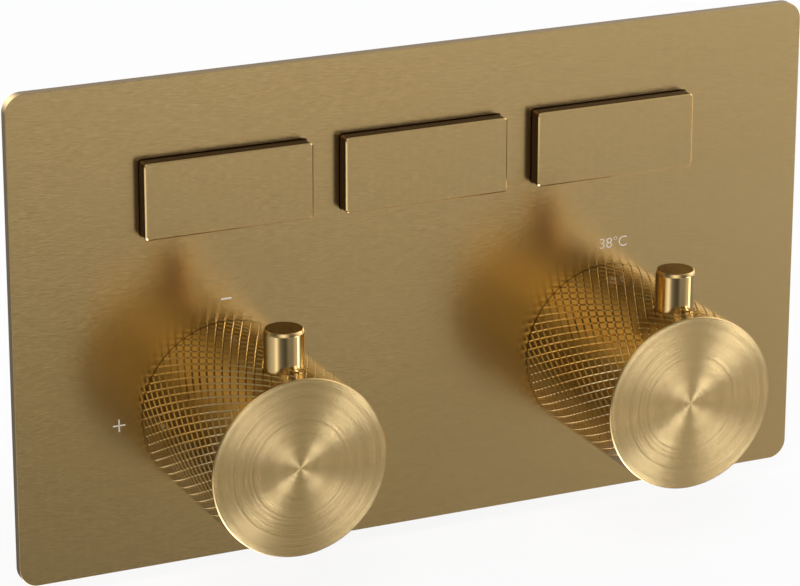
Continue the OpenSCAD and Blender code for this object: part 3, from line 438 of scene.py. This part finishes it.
def rounded(corners, radius, steps=ARC_STEPS):
    """A closed outline whose corners are replaced by arcs."""
    points = []
    count = len(corners)
    for index, corner in enumerate(corners):
        here = Vector(corner)
        back = (Vector(corners[index - 1]) - here).normalized()
        ahead = (Vector(corners[(index + 1) % count]) - here).normalized()
        half = back.angle(ahead) / 2
        reach = radius / math.tan(half)
        centre = here + (back + ahead).normalized() * (radius / math.sin(half))
        start = here + back * reach - centre
        end = here + ahead * reach - centre
        sweep = start.angle_signed(end)
        for step in range(steps + 1):
            turn = Matrix.Rotation(-sweep * step / steps, 2)
            points.append(centre + turn @ start)
    return points


def new_piece(name, mesh_or_bmesh, material, body, *nodes, sharp=30.0):
    """Ends a piece: smooth faces, sharp edges, one material, and one body when one is given."""
    mesh = mesh_or_bmesh
    if isinstance(mesh, bmesh.types.BMesh):
        mesh = plain_mesh(name, mesh)
    mesh.shade_smooth()
    mesh.set_sharp_from_angle(angle=math.radians(sharp))
    mesh.materials.clear()
    mesh.materials.append(material)
    holder = placed(name + "_raw", mesh)
    even = holder.modifiers.new("even", "WEIGHTED_NORMAL")
    even.keep_sharp = True
    even.weight = FLAT_FACES_FIRST
    mesh = worked_mesh(holder)
    mesh.name = name
    piece = placed(name, mesh)
    if body:
        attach(piece, body)
    if nodes:
        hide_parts(*nodes)
    return piece


def turned(profile, place, segments=128):
    """A solid of revolution: the profile's points are (distance from the axis, place along the axis)."""
    shape = bmesh.new()
    rings = []
    for radius, along in profile:
        if radius < TOUCHING:
            rings.append([shape.verts.new(place(0.0, 0.0, along))])
            continue
        ring = []
        for step in range(segments):
            angle = 2 * math.pi * step / segments
            spot = place(radius * math.cos(angle), radius * math.sin(angle), along)
            ring.append(shape.verts.new(spot))
        rings.append(ring)
    for lower, upper in zip(rings, rings[1:]):
        for step in range(segments):
            following = (step + 1) % segments
            a = lower[step % len(lower)]
            b = lower[following % len(lower)]
            c = upper[following % len(upper)]
            d = upper[step % len(upper)]
            corners = list(dict.fromkeys((a, b, c, d)))
            if len(corners) > 2:
                shape.faces.new(corners)
    bmesh.ops.recalc_face_normals(shape, faces=shape.faces)
    return shape


def round_y(centre):
    """Where a turned point goes, on an axis that runs front to back."""
    return lambda u, v, along: Vector((centre.x + u, along, centre.z + v))


def round_z(centre):
    """Where a turned point goes, on an axis that stands up."""
    return lambda u, v, along: Vector((centre.x + u, centre.y + v, along))


print("arc steps", ARC_STEPS)

# %% [markdown]
# ## The wall plate
# The plate is 3 mm sheet with round corners and a very small even round on every edge. A flat curve
# with holes fills itself, and its bevel rounds the edges of the holes too, which a plain box could not
# do. The openings are hardly wider than the caps, as in the photograph.


# %% The wall plate
PLATE_CORNER = 5 * MM
PLATE_CORNER_STEPS = 16
PLATE_EDGE = 0.12 * MM
OPENING_CORNER = 1 * MM
OPENING_GAP = 0.03 * MM
SHROUD_HOLE = 15.4 * MM


def box_corners(low, high):
    return [(low[0], low[1]), (high[0], low[1]), (high[0], high[1]), (low[0], high[1])]


def circle_points(centre, radius, count=128):
    angles = [2 * math.pi * step / count for step in range(count)]
    return [Vector((centre[0] + radius * math.cos(angle), centre[1] + radius * math.sin(angle)))
            for angle in angles]


def slab_mesh(name, outlines, edge, front, back, roundness=3):
    """A flat sheet from front to back with rounded edges. Every outline but the first is a hole."""
    curve = bpy.data.curves.new(name, "CURVE")
    curve.dimensions = "2D"
    curve.fill_mode = "BOTH"
    curve.bevel_depth = edge
    curve.bevel_resolution = roundness
    curve.offset = -edge
    curve.extrude = (back - front) / 2 - edge
    for number, outline in enumerate(outlines):
        points = outline if number == 0 else outline[::-1]
        spline = curve.splines.new("POLY")
        spline.points.add(len(points) - 1)
        for point, spot in zip(spline.points, points):
            point.co = (spot[0], spot[1], 0, 1)
        spline.use_cyclic_u = True
    flat = bpy.data.objects.new(name, curve)
    mesh = bpy.data.meshes.new_from_object(flat)
    bpy.data.objects.remove(flat)
    stand = Matrix(((1, 0, 0, 0), (0, 0, -1, (front + back) / 2), (0, 1, 0, 0), (0, 0, 0, 1)))
    mesh.transform(stand)
    shape = bmesh.new()
    shape.from_mesh(mesh)
    bmesh.ops.remove_doubles(shape, verts=shape.verts, dist=TOUCHING)
    bmesh.ops.recalc_face_normals(shape, faces=shape.faces)
    shape.to_mesh(mesh)
    shape.free()
    return mesh


def flat_box(node, grow=0.0):
    """The corners of a node's front outline, grown by a gap."""
    low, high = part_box(node)
    return box_corners((low.x - grow, low.z - grow), (high.x + grow, high.z + grow))


outlines = [rounded(flat_box("wall_plate"), PLATE_CORNER, steps=PLATE_CORNER_STEPS)]
for side in SIDES:
    opening = flat_box("button_cap_" + side, OPENING_GAP)
    outlines.append(rounded(opening, OPENING_CORNER))
for knob in KNOBS:
    outlines.append(circle_points((knob_centre[knob].x, knob_centre[knob].z), SHROUD_HOLE))
plate_mesh = slab_mesh("plate_sheet", outlines, PLATE_EDGE, plate_low.y, plate_high.y)
plate = new_piece("plate_sheet", plate_mesh, BRUSHED, "valve", "wall_plate")
print("plate faces", len(plate.data.polygons))

# %% [markdown]
# ## The three buttons
# Each button is a cap with its own brushed face and a fine bevel all round. The cap is a deep slab, so
# that the gap round it shows the button's wall and not the light behind it. It is a little smaller all
# round and stands half a millimetre prouder than its CAD node, as in the photograph.

# %% The three buttons
BUTTON_CORNER = 1.0 * MM
BUTTON_EDGE = 0.35 * MM
BUTTON_INSET = 0.12 * MM
BUTTON_RISE = 0.5 * MM

for side in SIDES:
    low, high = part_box("button_cap_" + side)
    outline = rounded(flat_box("button_cap_" + side, -BUTTON_INSET), BUTTON_CORNER)
    front = low.y - BUTTON_RISE
    mesh = slab_mesh("button_face_" + side, [outline], BUTTON_EDGE, front, high.y, roundness=0)
    # The cap's sides carry a dark brown that is painted shade for the gap round it.
    button = new_piece("button_face_" + side, mesh, CAP_BRASS_SIDE_SHADE, "button_" + side, "button_cap_" + side)
print("buttons stand", round((plate_low.y - front) / MM, 2), "mm proud")

# %% [markdown]
# ## Softened copies
# The CAD solids have true but knife-sharp edges. For a piece whose form is already right, a merged copy
# with a narrow bevel keeps the form and gives its edges the light line of a real machined part. The two
# pins are made this way, and their tops are raised by half a millimetre.


# %% Softened copies
SOLID_MERGE = 1e-6
FLAT_WITHIN = math.radians(0.5)
SOFTEN_ABOVE = math.radians(35.0)


def node_copy(node):
    """A merged copy of a CAD node's mesh, with its flat faces whole again."""
    shape = bmesh.new()
    shape.from_mesh(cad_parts[node].data)
    bmesh.ops.remove_doubles(shape, verts=shape.verts, dist=SOLID_MERGE)
    bmesh.ops.dissolve_limit(shape, angle_limit=FLAT_WITHIN, verts=shape.verts, edges=shape.edges)
    return shape


def worked(name, shape, *modifiers):
    """Runs modifiers on a bmesh and gives the plain mesh that results."""
    holder = placed(name, plain_mesh(name, shape))
    for kind, settings in modifiers:
        modifier = holder.modifiers.new(kind.lower(), kind)
        for key, value in settings.items():
            setattr(modifier, key, value)
    return worked_mesh(holder)


def softened(node, width, segments=2):
    """A CAD node's form with narrow rounds on its sharp edges."""
    bevel = {"width": width, "segments": segments, "limit_method": "ANGLE",
             "angle_limit": SOFTEN_ABOVE, "use_clamp_overlap": True}
    return worked(node + "_soft", node_copy(node), ("BEVEL", bevel))


PIN_EDGE = 0.12 * MM
PIN_RISE = 0.5 * MM
for node, body in (("flow_pin", "flow_control"), ("safety_button", "safety_catch")):
    mesh = softened(node, PIN_EDGE)
    top = max(vert.co.z for vert in mesh.vertices)
    for vert in mesh.vertices:
        if vert.co.z > top - 2 * PIN_EDGE:
            vert.co.z += PIN_RISE
    piece = new_piece(node + "_fine", mesh, POLISHED, body, node)
    print(piece.name, len(piece.data.polygons), "faces")

# %% [markdown]
# ## The knob cores
# A knob's core is turned: a face disc that covers the knurl's end, a thin rim and a plain shank under
# the knurled sleeve. A softened copy keeps its bores and gives the rim a very fine round.

# %% The knob cores
RIM_EDGE = 0.08 * MM
for knob, body in KNOBS.items():
    node = knob + "_knob"
    piece = new_piece(node + "_core", softened(node, RIM_EDGE, segments=3), SPUN[knob], body, node)
    print(piece.name, len(piece.data.polygons), "faces")

# %% [markdown]
# ## The diamond knurl
# Two families of 60 grooves cross on each knob and leave flat-topped pads. One start of the knurl is a
# narrow strip whose two coordinates run along the two groove families. Geometry Nodes bends that strip
# round the knob, repeats it for every start and joins the copies into one sleeve.

# %% The knurl's measures
KNURL_STARTS = 60
KNURL_ROW = 2.622 * MM
KNURL_DEPTH = 0.3 * MM
KNURL_GROOVE = 0.135
KNURL_CELLS = 20
SLEEVE_SETBACK = 0.4 * MM
SLEEVE_REAR_GAP = 0.2 * MM
PAD_POINTS = 5
ROUNDING_ROOM = 0.001
JOIN_WITHIN = 0.01 * MM
sleeve_front = knob_low.y + SLEEVE_SETBACK
sleeve_back = plate_low.y - SLEEVE_REAR_GAP
print("sleeve", round((sleeve_back - sleeve_front) / MM, 2), "mm long,", KNURL_STARTS, "starts")


# %% The knurl's node tree
def knurl_tree():
    """One start of the knurl, bent and repeated, and the identifiers of the tree's inputs."""
    group = bpy.data.node_groups.new("diamond_knurl", "GeometryNodeTree")
    faces = group.interface
    inputs = {}
    for name, kind in (("Crest radius", "NodeSocketFloat"), ("Groove depth", "NodeSocketFloat"),
                       ("Groove share", "NodeSocketFloat"), ("Row length", "NodeSocketFloat"),
                       ("Start angle", "NodeSocketFloat"), ("Starts", "NodeSocketInt"),
                       ("Centre", "NodeSocketVector"), ("Material", "NodeSocketMaterial")):
        inputs[name] = faces.new_socket(name, in_out="INPUT", socket_type=kind).identifier
    faces.new_socket("Geometry", in_out="OUTPUT", socket_type="NodeSocketGeometry")
    sheet = Sheet(group)
    entry = group.nodes.new("NodeGroupInput")

    def given(name):
        return Signal(group, entry.outputs[name])

    across = PAD_POINTS
    along = KNURL_CELLS * PAD_POINTS
    strip = sheet.node("GeometryNodeMeshGrid", None, {
        "Size X": float(across), "Size Y": float(along),
        "Vertices X": across + 1, "Vertices Y": along + 1})
    place = sheet.node("GeometryNodeInputPosition")
    column = sheet.node("ShaderNodeSeparateXYZ", None, {0: place}, output="X") + across / 2
    row = sheet.node("ShaderNodeSeparateXYZ", None, {0: place}, output="Y") + along / 2

    def cell(steps):
        """A coordinate that counts cells, and whether it lies on a pad."""
        whole = (steps / float(PAD_POINTS) + ROUNDING_ROOM).math("FLOOR")
        rest = (steps - whole * float(PAD_POINTS)).math("ROUND")
        on_pad = rest.math("MINIMUM", 1.0)
        share = given("Groove share")
        pad = (1.0 - share * 2.0) * (rest - 1.0) / float(PAD_POINTS - 2)
        return whole + on_pad * (share + pad), on_pad

    b, b_pad = cell(column)
    a, a_pad = cell(row)
    a = a - 1.0
    depth = given("Groove depth") * (1.0 - a_pad * b_pad)
    radius = given("Crest radius") - depth
    angle = (a - b) * given("Start angle") / 2.0
    bent = sheet.node("ShaderNodeCombineXYZ", None, {
        "X": radius * angle.math("SINE"), "Y": (a + b) * given("Row length") * -1.0,
        "Z": radius * angle.math("COSINE")})
    bent_strip = sheet.node("GeometryNodeSetPosition", None, {"Geometry": strip, "Position": bent})
    starts = sheet.node("GeometryNodeMeshLine", None, {
        "Count": given("Starts"), "Offset": (0.0, 0.0, 0.0)})
    number = sheet.node("GeometryNodeInputIndex")
    turn = sheet.node("ShaderNodeCombineXYZ", None, {"Y": number * given("Start angle")})
    copies = sheet.node("GeometryNodeInstanceOnPoints", None, {
        "Points": starts, "Instance": bent_strip, "Rotation": turn})
    moved = sheet.node("GeometryNodeTranslateInstances", None, {
        "Instances": copies, "Translation": given("Centre"), "Local Space": False})
    real = sheet.node("GeometryNodeRealizeInstances", None, {"Geometry": moved})
    joined = sheet.node("GeometryNodeMergeByDistance", None, {
        "Geometry": real, "Distance": JOIN_WITHIN})
    painted = sheet.node("GeometryNodeSetMaterial", None, {
        "Geometry": joined, "Material": given("Material")})
    sheet.node("NodeGroupOutput", None, {"Geometry": painted})
    return group, inputs


KNURL_TREE, KNURL_INPUTS = knurl_tree()
print("knurl tree has", len(KNURL_TREE.nodes), "nodes")


# %% From the tree to a closed sleeve
CUT_SNAP = 1e-6


def run_tree(name, group, values):
    """Runs a node group on an empty mesh, with its inputs set by identifier, and gives the mesh."""
    holder = placed(name, bpy.data.meshes.new(name))
    modifier = holder.modifiers.new(name, "NODES")
    modifier.node_group = group
    for identifier, value in values.items():
        modifier[identifier] = value
    return worked_mesh(holder)


def zip_rings(shape, outer, inner, centre):
    """Fills the flat ring between two loops of points, however many points each has."""
    def angle_of(vert):
        return math.atan2(vert.co.z - centre.z, vert.co.x - centre.x)

    outer = sorted(outer, key=angle_of)
    inner = sorted(inner, key=angle_of)
    i = j = 0
    while i < len(outer) or j < len(inner):
        next_outer = angle_of(outer[i]) if i < len(outer) else math.inf
        next_inner = angle_of(inner[j]) if j < len(inner) else math.inf
        a = outer[(i - 1) % len(outer)]
        b = inner[(j - 1) % len(inner)]
        if next_outer <= next_inner:
            shape.faces.new((a, outer[i], b))
            i += 1
        else:
            shape.faces.new((a, inner[j], b))
            j += 1


def sleeve(knob, bore_r):
    """The knurled tube of one knob: the tree's surface cut to length, with flat ends and a bore."""
    centre = knob_centre[knob]
    values = {
        "Crest radius": knob_r,
        "Groove depth": KNURL_DEPTH,
        "Groove share": KNURL_GROOVE,
        "Row length": KNURL_ROW,
        "Start angle": 2 * math.pi / KNURL_STARTS,
        "Starts": KNURL_STARTS,
        "Centre": (centre.x, sleeve_back, centre.z),
        "Material": KNURLED,
    }
    mesh = run_tree(knob + "_knurl", KNURL_TREE,
                    {KNURL_INPUTS[name]: value for name, value in values.items()})
    shape = bmesh.new()
    shape.from_mesh(mesh)
    bmesh.ops.triangulate(shape, faces=shape.faces)
    for plane_y, outwards in ((sleeve_front, -1), (sleeve_back, 1)):
        everything = shape.verts[:] + shape.edges[:] + shape.faces[:]
        bmesh.ops.bisect_plane(shape, geom=everything, dist=CUT_SNAP, plane_co=(0, plane_y, 0),
                               plane_no=(0, outwards, 0), clear_outer=True)
    bores = []
    for plane_y in (sleeve_front, sleeve_back):
        edge = [v for v in shape.verts if v.is_boundary and abs(v.co.y - plane_y) < 2 * CUT_SNAP]
        ring = [shape.verts.new((centre.x + p.x, plane_y, centre.z + p.y))
                for p in circle_points((0, 0), bore_r)]
        zip_rings(shape, edge, ring, centre)
        bores.append(ring)
    count = len(bores[0])
    for step in range(count):
        following = (step + 1) % count
        shape.faces.new((bores[0][step], bores[0][following], bores[1][following], bores[1][step]))
    bmesh.ops.recalc_face_normals(shape, faces=shape.faces)
    return shape


# %% [markdown]
# ## Cutting the sleeves
# Two booleans finish a sleeve: a drill makes the hole for the pin, and a turned blank takes the crests
# down at the front, so that the knurl runs in under the face's rim. Each row of the lead-in is how far
# the blank stands past the crests, and how far behind the sleeve's front.

# %% The two sleeves
GRIP_BORE = 22.35 * MM
PIN_HOLE = 5.4 * MM
DRILL_FROM = 20 * MM
DRILL_TO = 30 * MM
LEAD_IN = ((-0.6 * MM, 0.0), (-0.15 * MM, 0.1 * MM), (0.4 * MM, 0.8 * MM))
KNURL_SHARP = 24.0

pin_low, pin_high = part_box("flow_pin")
pin_y = (pin_low.y + pin_high.y) / 2
for knob, body in KNOBS.items():
    centre = knob_centre[knob]
    bottom, top = centre.z + DRILL_FROM, centre.z + DRILL_TO
    drill_shape = turned([(0, bottom), (PIN_HOLE, bottom), (PIN_HOLE, top), (0, top)],
                         round_z(Vector((centre.x, pin_y, 0))), segments=64)
    drill = placed("drill", plain_mesh("drill", drill_shape))
    lead_in = [(knob_r + past, sleeve_front + behind) for past, behind in LEAD_IN]
    blank_shape = turned([(0, sleeve_front), *lead_in, (lead_in[-1][0], sleeve_back), (0, sleeve_back)],
                         round_y(centre), segments=240)
    blank = placed("blank", plain_mesh("blank", blank_shape))
    mesh = worked(knob + "_sleeve", sleeve(knob, GRIP_BORE),
                  ("BOOLEAN", {"operation": "DIFFERENCE", "solver": "MANIFOLD", "object": drill}),
                  ("BOOLEAN", {"operation": "INTERSECT", "solver": "MANIFOLD", "object": blank}))
    bpy.data.objects.remove(drill)
    bpy.data.objects.remove(blank)
    piece = new_piece(knob + "_sleeve", mesh, KNURLED, body, knob + "_knob_grip", sharp=KNURL_SHARP)
    print(piece.name, len(piece.data.polygons), "faces")

# %% [markdown]
# ## The marks
# A minus and a plus show which way the flow knob turns, and 38°C names the temperature knob's rest.
# They are engraved and filled with cream paint. A text object gives the letters' outlines, which become
# a thin mesh that stands a hair proud of the plate, so that it never fights with the plate's face.


# %% Cream paint
PAINT_GRAIN = (900.0, 900.0, 900.0)
CREAM_DEEP = (0.70, 0.61, 0.46)
CREAM_PALE = (0.78, 0.69, 0.54)
PAINT_ROUGH = 0.5
PAINT_SPREAD = 0.15


def cream_paint():
    """Matt paint with a fine grain."""
    finish = Finish("cream_paint")
    grain = finish.noise(PAINT_GRAIN, detail=2.0)
    return finish.finish(
        Base_Color=finish.mixed(grain, CREAM_DEEP, CREAM_PALE),
        Roughness=PAINT_ROUGH + grain * PAINT_SPREAD)


CREAM = cream_paint()
print("made", CREAM.name)


# %% The marks on the plate
MARK_PROUD = 0.02 * MM
MARK_STROKE = 0.40 * MM
MARK_CORNER = 0.1 * MM
MARK_CORNER_STEPS = 3
LETTER_THINNING = -0.012
LETTER_HEIGHT = 3.0 * MM
MINUS_WIDTH = 3.0 * MM
PLUS_WIDTH = 3.4 * MM
MINUS_PLACE = (-56.0 * MM, 5.0 * MM)
PLUS_PLACE = (-86.6 * MM, -25.7 * MM)
DEGREES_PLACE = (58.3 * MM, 5.0 * MM)


def letter_mark(name, words, height, x, z):
    """Words cut as a thin mesh on the plate's front, centred on a place."""
    text = bpy.data.curves.new(name, "FONT")
    text.body = words
    text.align_x = "CENTER"
    text.align_y = "CENTER"
    text.extrude = MARK_PROUD
    text.offset = LETTER_THINNING
    writing = bpy.data.objects.new(name, text)
    mesh = bpy.data.meshes.new_from_object(writing)
    bpy.data.objects.remove(writing)
    xs = [v.co.x for v in mesh.vertices]
    ys = [v.co.y for v in mesh.vertices]
    scale = height / (max(ys) - min(ys))
    middle = Vector(((max(xs) + min(xs)) / 2, (max(ys) + min(ys)) / 2, 0))
    for vert in mesh.vertices:
        flat = (vert.co - middle) * scale
        depth = plate_low.y - MARK_PROUD if vert.co.z > 0 else plate_low.y + MARK_PROUD
        vert.co = (x + flat.x, depth, z + flat.y)
    return mesh


def bar_mark(bars, x, z):
    """A sign made of bars on the plate's front, each (width, height)."""
    shape = bmesh.new()
    for width, height in bars:
        corners = []
        for depth in (plate_low.y - MARK_PROUD, plate_low.y + MARK_PROUD):
            outline = rounded(box_corners((-width / 2, -height / 2), (width / 2, height / 2)),
                              MARK_CORNER, steps=MARK_CORNER_STEPS)
            corners.append([shape.verts.new((x + u, depth, z + v)) for u, v in outline])
        front, back = corners
        shape.faces.new(front)
        shape.faces.new(back[::-1])
        for step in range(len(front)):
            following = (step + 1) % len(front)
            shape.faces.new((front[step], back[step], back[following], front[following]))
    bmesh.ops.recalc_face_normals(shape, faces=shape.faces)
    return shape


minus_bars = [(MINUS_WIDTH, MARK_STROKE)]
plus_bars = [(PLUS_WIDTH, MARK_STROKE), (MARK_STROKE, PLUS_WIDTH)]
degrees_mesh = letter_mark("degrees", "38°C", LETTER_HEIGHT, *DEGREES_PLACE)
minus = new_piece("minus_mark", bar_mark(minus_bars, *MINUS_PLACE), CREAM, "valve")
plus = new_piece("plus_mark", bar_mark(plus_bars, *PLUS_PLACE), CREAM, "valve")
degrees = new_piece("degree_mark", degrees_mesh, CREAM, "valve")
print("marks", [p.name for p in (minus, plus, degrees)])

# %% [markdown]
# ## Finishes of the hidden pieces
# Behind the wall plate nothing is polished: the body is a sand casting, the bracket is zinc-plated
# sheet, the seals are rubber and the cartridges are moulded. Each has its own grain and its own sheen.
# A row of the table is two colours, the roughness and how far it varies, how metallic the finish is,
# the grains in a metre and the height of a grain.


# %% Cast, sheet, rubber, plastic and ceramic
PATCHES = (22.0, 22.0, 22.0)


def grained(name, low, high, rough, spread, metallic, grain, depth):
    """A finish with the same fine grain in every direction."""
    finish = Finish(name)
    coarse = finish.noise((grain, grain, grain), detail=5.0, roughness=0.6)
    patches = finish.noise(PATCHES, detail=2.0)
    return finish.finish(
        Base_Color=finish.mixed(coarse * 0.5 + patches * 0.5, low, high),
        Roughness=rough + coarse * spread,
        Metallic=metallic,
        Normal=finish.bump(coarse, depth))


GRAINED = {
    "cast_brass": ((0.42, 0.28, 0.10), (0.60, 0.43, 0.19), 0.38, 0.25, 1.0, 1400.0, 0.12 * MM),
    "black_plastic": ((0.012, 0.012, 0.013), (0.03, 0.03, 0.032), 0.4, 0.2, 0.0, 2600.0, 0.03 * MM),
    "white_plastic": ((0.70, 0.69, 0.66), (0.80, 0.79, 0.76), 0.35, 0.15, 0.0, 1900.0, 0.02 * MM),
    "rubber": ((0.010, 0.010, 0.011), (0.028, 0.027, 0.026), 0.62, 0.2, 0.0, 3200.0, 0.04 * MM),
    "spring_steel": ((0.50, 0.50, 0.52), (0.62, 0.62, 0.64), 0.22, 0.15, 1.0, 2400.0, 0.01 * MM),
    "bracket_steel": ((0.50, 0.51, 0.53), (0.66, 0.67, 0.68), 0.3, 0.25, 1.0, 420.0, 0.02 * MM),
    "ceramic": ((0.78, 0.77, 0.73), (0.86, 0.85, 0.82), 0.12, 0.08, 0.0, 900.0, 0.005 * MM),
    "copper": ((0.62, 0.27, 0.16), (0.80, 0.40, 0.26), 0.28, 0.15, 1.0, 700.0, 0.01 * MM),
}
SLOT_FINISHES = {"brushed_brass": BRUSHED, "knurled_brass": KNURLED}
for slot_name, row in GRAINED.items():
    SLOT_FINISHES[slot_name] = grained(slot_name, *row)
print("finishes for", len(SLOT_FINISHES), "slots")


# %% Dress the CAD nodes
dressed = {}
for node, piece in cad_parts.items():
    slot_name = piece.data.materials[0].name
    piece.material_slots[0].material = SLOT_FINISHES[slot_name]
    dressed[slot_name] = dressed.get(slot_name, 0) + 1
print("nodes in each finish:", dressed)

# %% [markdown]
# ## The springs
# A pressed button shortens its spring. Here each spring is a merged copy of its CAD node, which it
# replaces, and the copy is attached to no body.


# %% The springs
def giving_spring(node):
    """Puts in a spring's place a merged copy of it, attached to no body."""
    piece = new_piece(node + "_coil", node_copy(node), SLOT_FINISHES["spring_steel"], None, node)
    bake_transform(piece)


for side in SIDES:
    low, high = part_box("push_spring_" + side)
    giving_spring("push_spring_" + side)
low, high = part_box("safety_button_spring")
giving_spring("safety_button_spring")
print("springs that give:", len(SIDES) + 1)

# %% [markdown]
# ## Floor, backdrop and light
# The photograph has a plain white ground and a studio's soft boxes, which the metal shows as bright and
# dark zones. The world's brightness changes with direction: white behind the object, where the camera
# looks, and in front a dim room with wide soft boxes. Metal sees the white behind only faintly, or every
# edge would be ringed with it. Each soft light is its direction, its strength, how sharply it falls off
# and its tint.

# %% The studio's soft lights
COOL = (1.0, 1.10, 1.50)
CLEAR = (1.0, 1.01, 1.15)
WARM_ROOM = (0.025, 0.02, 0.016)
SOFT_LIGHTS = (
    ((0.762, -0.647, 0.020), 8.5, 50.0, COOL),
    ((0.082, -0.997, -0.025), 1.5, 49.0, COOL),
    ((0.680, -0.300, -0.670), 6.0, 50.0, COOL),
    ((0.250, -0.930, -0.220), 0.2, 25.0, CLEAR),
    ((0.395, -0.909, -0.133), 0.9, 103.0, CLEAR),
    ((-0.325, -0.672, 0.665), 1.7, 13.0, CLEAR),
    ((0.856, 0.173, 0.487), 2.7, 6.0, CLEAR),
    ((-0.997, -0.079, -0.021), 0.6, 8.0, CLEAR),
    ((0.571, -0.681, -0.459), 0.8, 67.0, CLEAR),
    ((0.858, -0.398, -0.324), 4.0, 150.0, CLEAR),
    ((-0.830, -0.390, -0.400), 1.3, 60.0, CLEAR),
    ((-0.350, -0.050, -0.930), 7.5, 8.5, COOL),
    ((-0.330, 0.860, 0.380), 3.2, 14.0, CLEAR),
)
BEHIND_FROM = -0.05
BEHIND_FULL = 0.15
BEHIND_WHITE = 0.8
BEHIND_IN_METAL = 0.08


def studio_world():
    """White behind the object, and in front the dim room with its soft lights."""
    world = bpy.data.worlds.new("studio")
    world.use_nodes = True
    sheet = Sheet(world.node_tree)
    sheet.tree.nodes.clear()
    way = sheet.node("ShaderNodeTexCoord", output="Generated")
    light = WARM_ROOM
    for direction, strength, sharpness, tint in SOFT_LIGHTS:
        middle = tuple(Vector(direction).normalized())
        near = sheet.vector("DOT_PRODUCT", way, middle, output="Value")
        glow = ((near - 1.0) * sharpness).math("EXPONENT") * strength
        light = sheet.vector("ADD", sheet.vector("SCALE", tint, scale=glow), light)
    depth = sheet.node("ShaderNodeSeparateXYZ", None, {0: way}, output="Y")
    behind = sheet.node("ShaderNodeMapRange", {"interpolation_type": "SMOOTHSTEP"}, {
        "Value": depth, "From Min": BEHIND_FROM, "From Max": BEHIND_FULL, "To Min": 0.0, "To Max": 1.0})
    seen = sheet.tree.nodes.new("ShaderNodeLightPath")
    camera_ray, clear_ray, glossy_ray = (Signal(sheet.tree, seen.outputs["Is " + kind + " Ray"])
                                         for kind in ("Camera", "Transmission", "Glossy"))
    white = camera_ray.math("MAXIMUM", clear_ray)
    dimming = BEHIND_WHITE - glossy_ray * (BEHIND_WHITE - BEHIND_IN_METAL)
    white = white.math("MAXIMUM", behind * dimming)
    colour = sheet.mixed(white, light, (1.0, 1.0, 1.0))
    shine = sheet.node("ShaderNodeBackground", None, {"Color": colour, "Strength": 1.0})
    sheet.node("ShaderNodeOutputWorld", None, {"Surface": shine})
    return world


bpy.context.scene.world = studio_world()
print("soft lights", len(SOFT_LIGHTS))

# %% [markdown]
# ## The floor
# The floor is white to the camera and keeps a faint shadow. A mirror-like piece looks straight through
# it to the soft light below, as if the object stood on clear glass, and so its underside stays bright.

# %% The floor
FLOOR_SIZE = 3.0
FLOOR_FRONT = -0.5
FLOOR_DROP = 0.002
FLOOR_CELLS = 8
FLOOR_GRAIN = (40.0, 40.0, 40.0)
FLOOR_DEEP = (0.86, 0.86, 0.85)
FLOOR_PALE = (0.89, 0.89, 0.88)
FLOOR_MATT = 0.9
CAMERA_WHITE = 0.9


def floor_finish():
    """Pale and matt, nearly white to the camera, and open to a reflection."""
    finish = Finish("pale_floor")
    grain = finish.noise(FLOOR_GRAIN)
    matt = finish.node("ShaderNodeBsdfPrincipled", None, {
        "Base Color": finish.mixed(grain, FLOOR_DEEP, FLOOR_PALE), "Roughness": FLOOR_MATT})
    glow = finish.node("ShaderNodeEmission", None, {"Color": (1.0, 1.0, 1.0, 1.0), "Strength": 1.0})
    seen = finish.tree.nodes.new("ShaderNodeLightPath")
    camera_ray = Signal(finish.tree, seen.outputs["Is Camera Ray"])
    both = finish.node("ShaderNodeMixShader", None, {0: camera_ray * CAMERA_WHITE, 1: matt, 2: glow})
    clear = finish.node("ShaderNodeBsdfTransparent")
    glossy_ray = Signal(finish.tree, seen.outputs["Is Glossy Ray"])
    surface = finish.node("ShaderNodeMixShader", None, {0: glossy_ray, 1: both, 2: clear})
    finish.node("ShaderNodeOutputMaterial", None, {"Surface": surface})
    return finish.material


floor_shape = bmesh.new()
bmesh.ops.create_grid(floor_shape, x_segments=FLOOR_CELLS, y_segments=FLOOR_CELLS, size=FLOOR_SIZE / 2)
floor_z = cad_box[0].z - FLOOR_DROP
floor_middle = (0, FLOOR_FRONT + FLOOR_SIZE / 2, floor_z)
bmesh.ops.translate(floor_shape, verts=floor_shape.verts, vec=floor_middle)
floor_mesh = plain_mesh("floor", floor_shape)
floor_mesh.materials.append(floor_finish())
floor = placed("floor", floor_mesh)
print("floor at", round(floor_z / MM, 2), "mm")

# %% [markdown]
# ## The key lamp
# One wide lamp, high up and to the left, gives the form its gentle shading and the floor its shadow. A
# reflection never shows it, because the world's soft lights already draw what the metal reflects.

# %% The key lamp
KEY_PLACE = Vector((-0.5, -1.0, 1.3))
KEY_SIZE = 0.7
KEY_POWER = 9.0

key_light = bpy.data.lights.new("key_lamp", "AREA")
key_light.shape = "DISK"
key_light.size = KEY_SIZE
key_light.energy = KEY_POWER
key_lamp = placed("key_lamp", key_light)
key_lamp.location = KEY_PLACE
key_lamp.rotation_euler = (-KEY_PLACE).to_track_quat("-Z", "Y").to_euler()
key_lamp.visible_glossy = False
bpy.context.scene.view_settings.view_transform = "Standard"
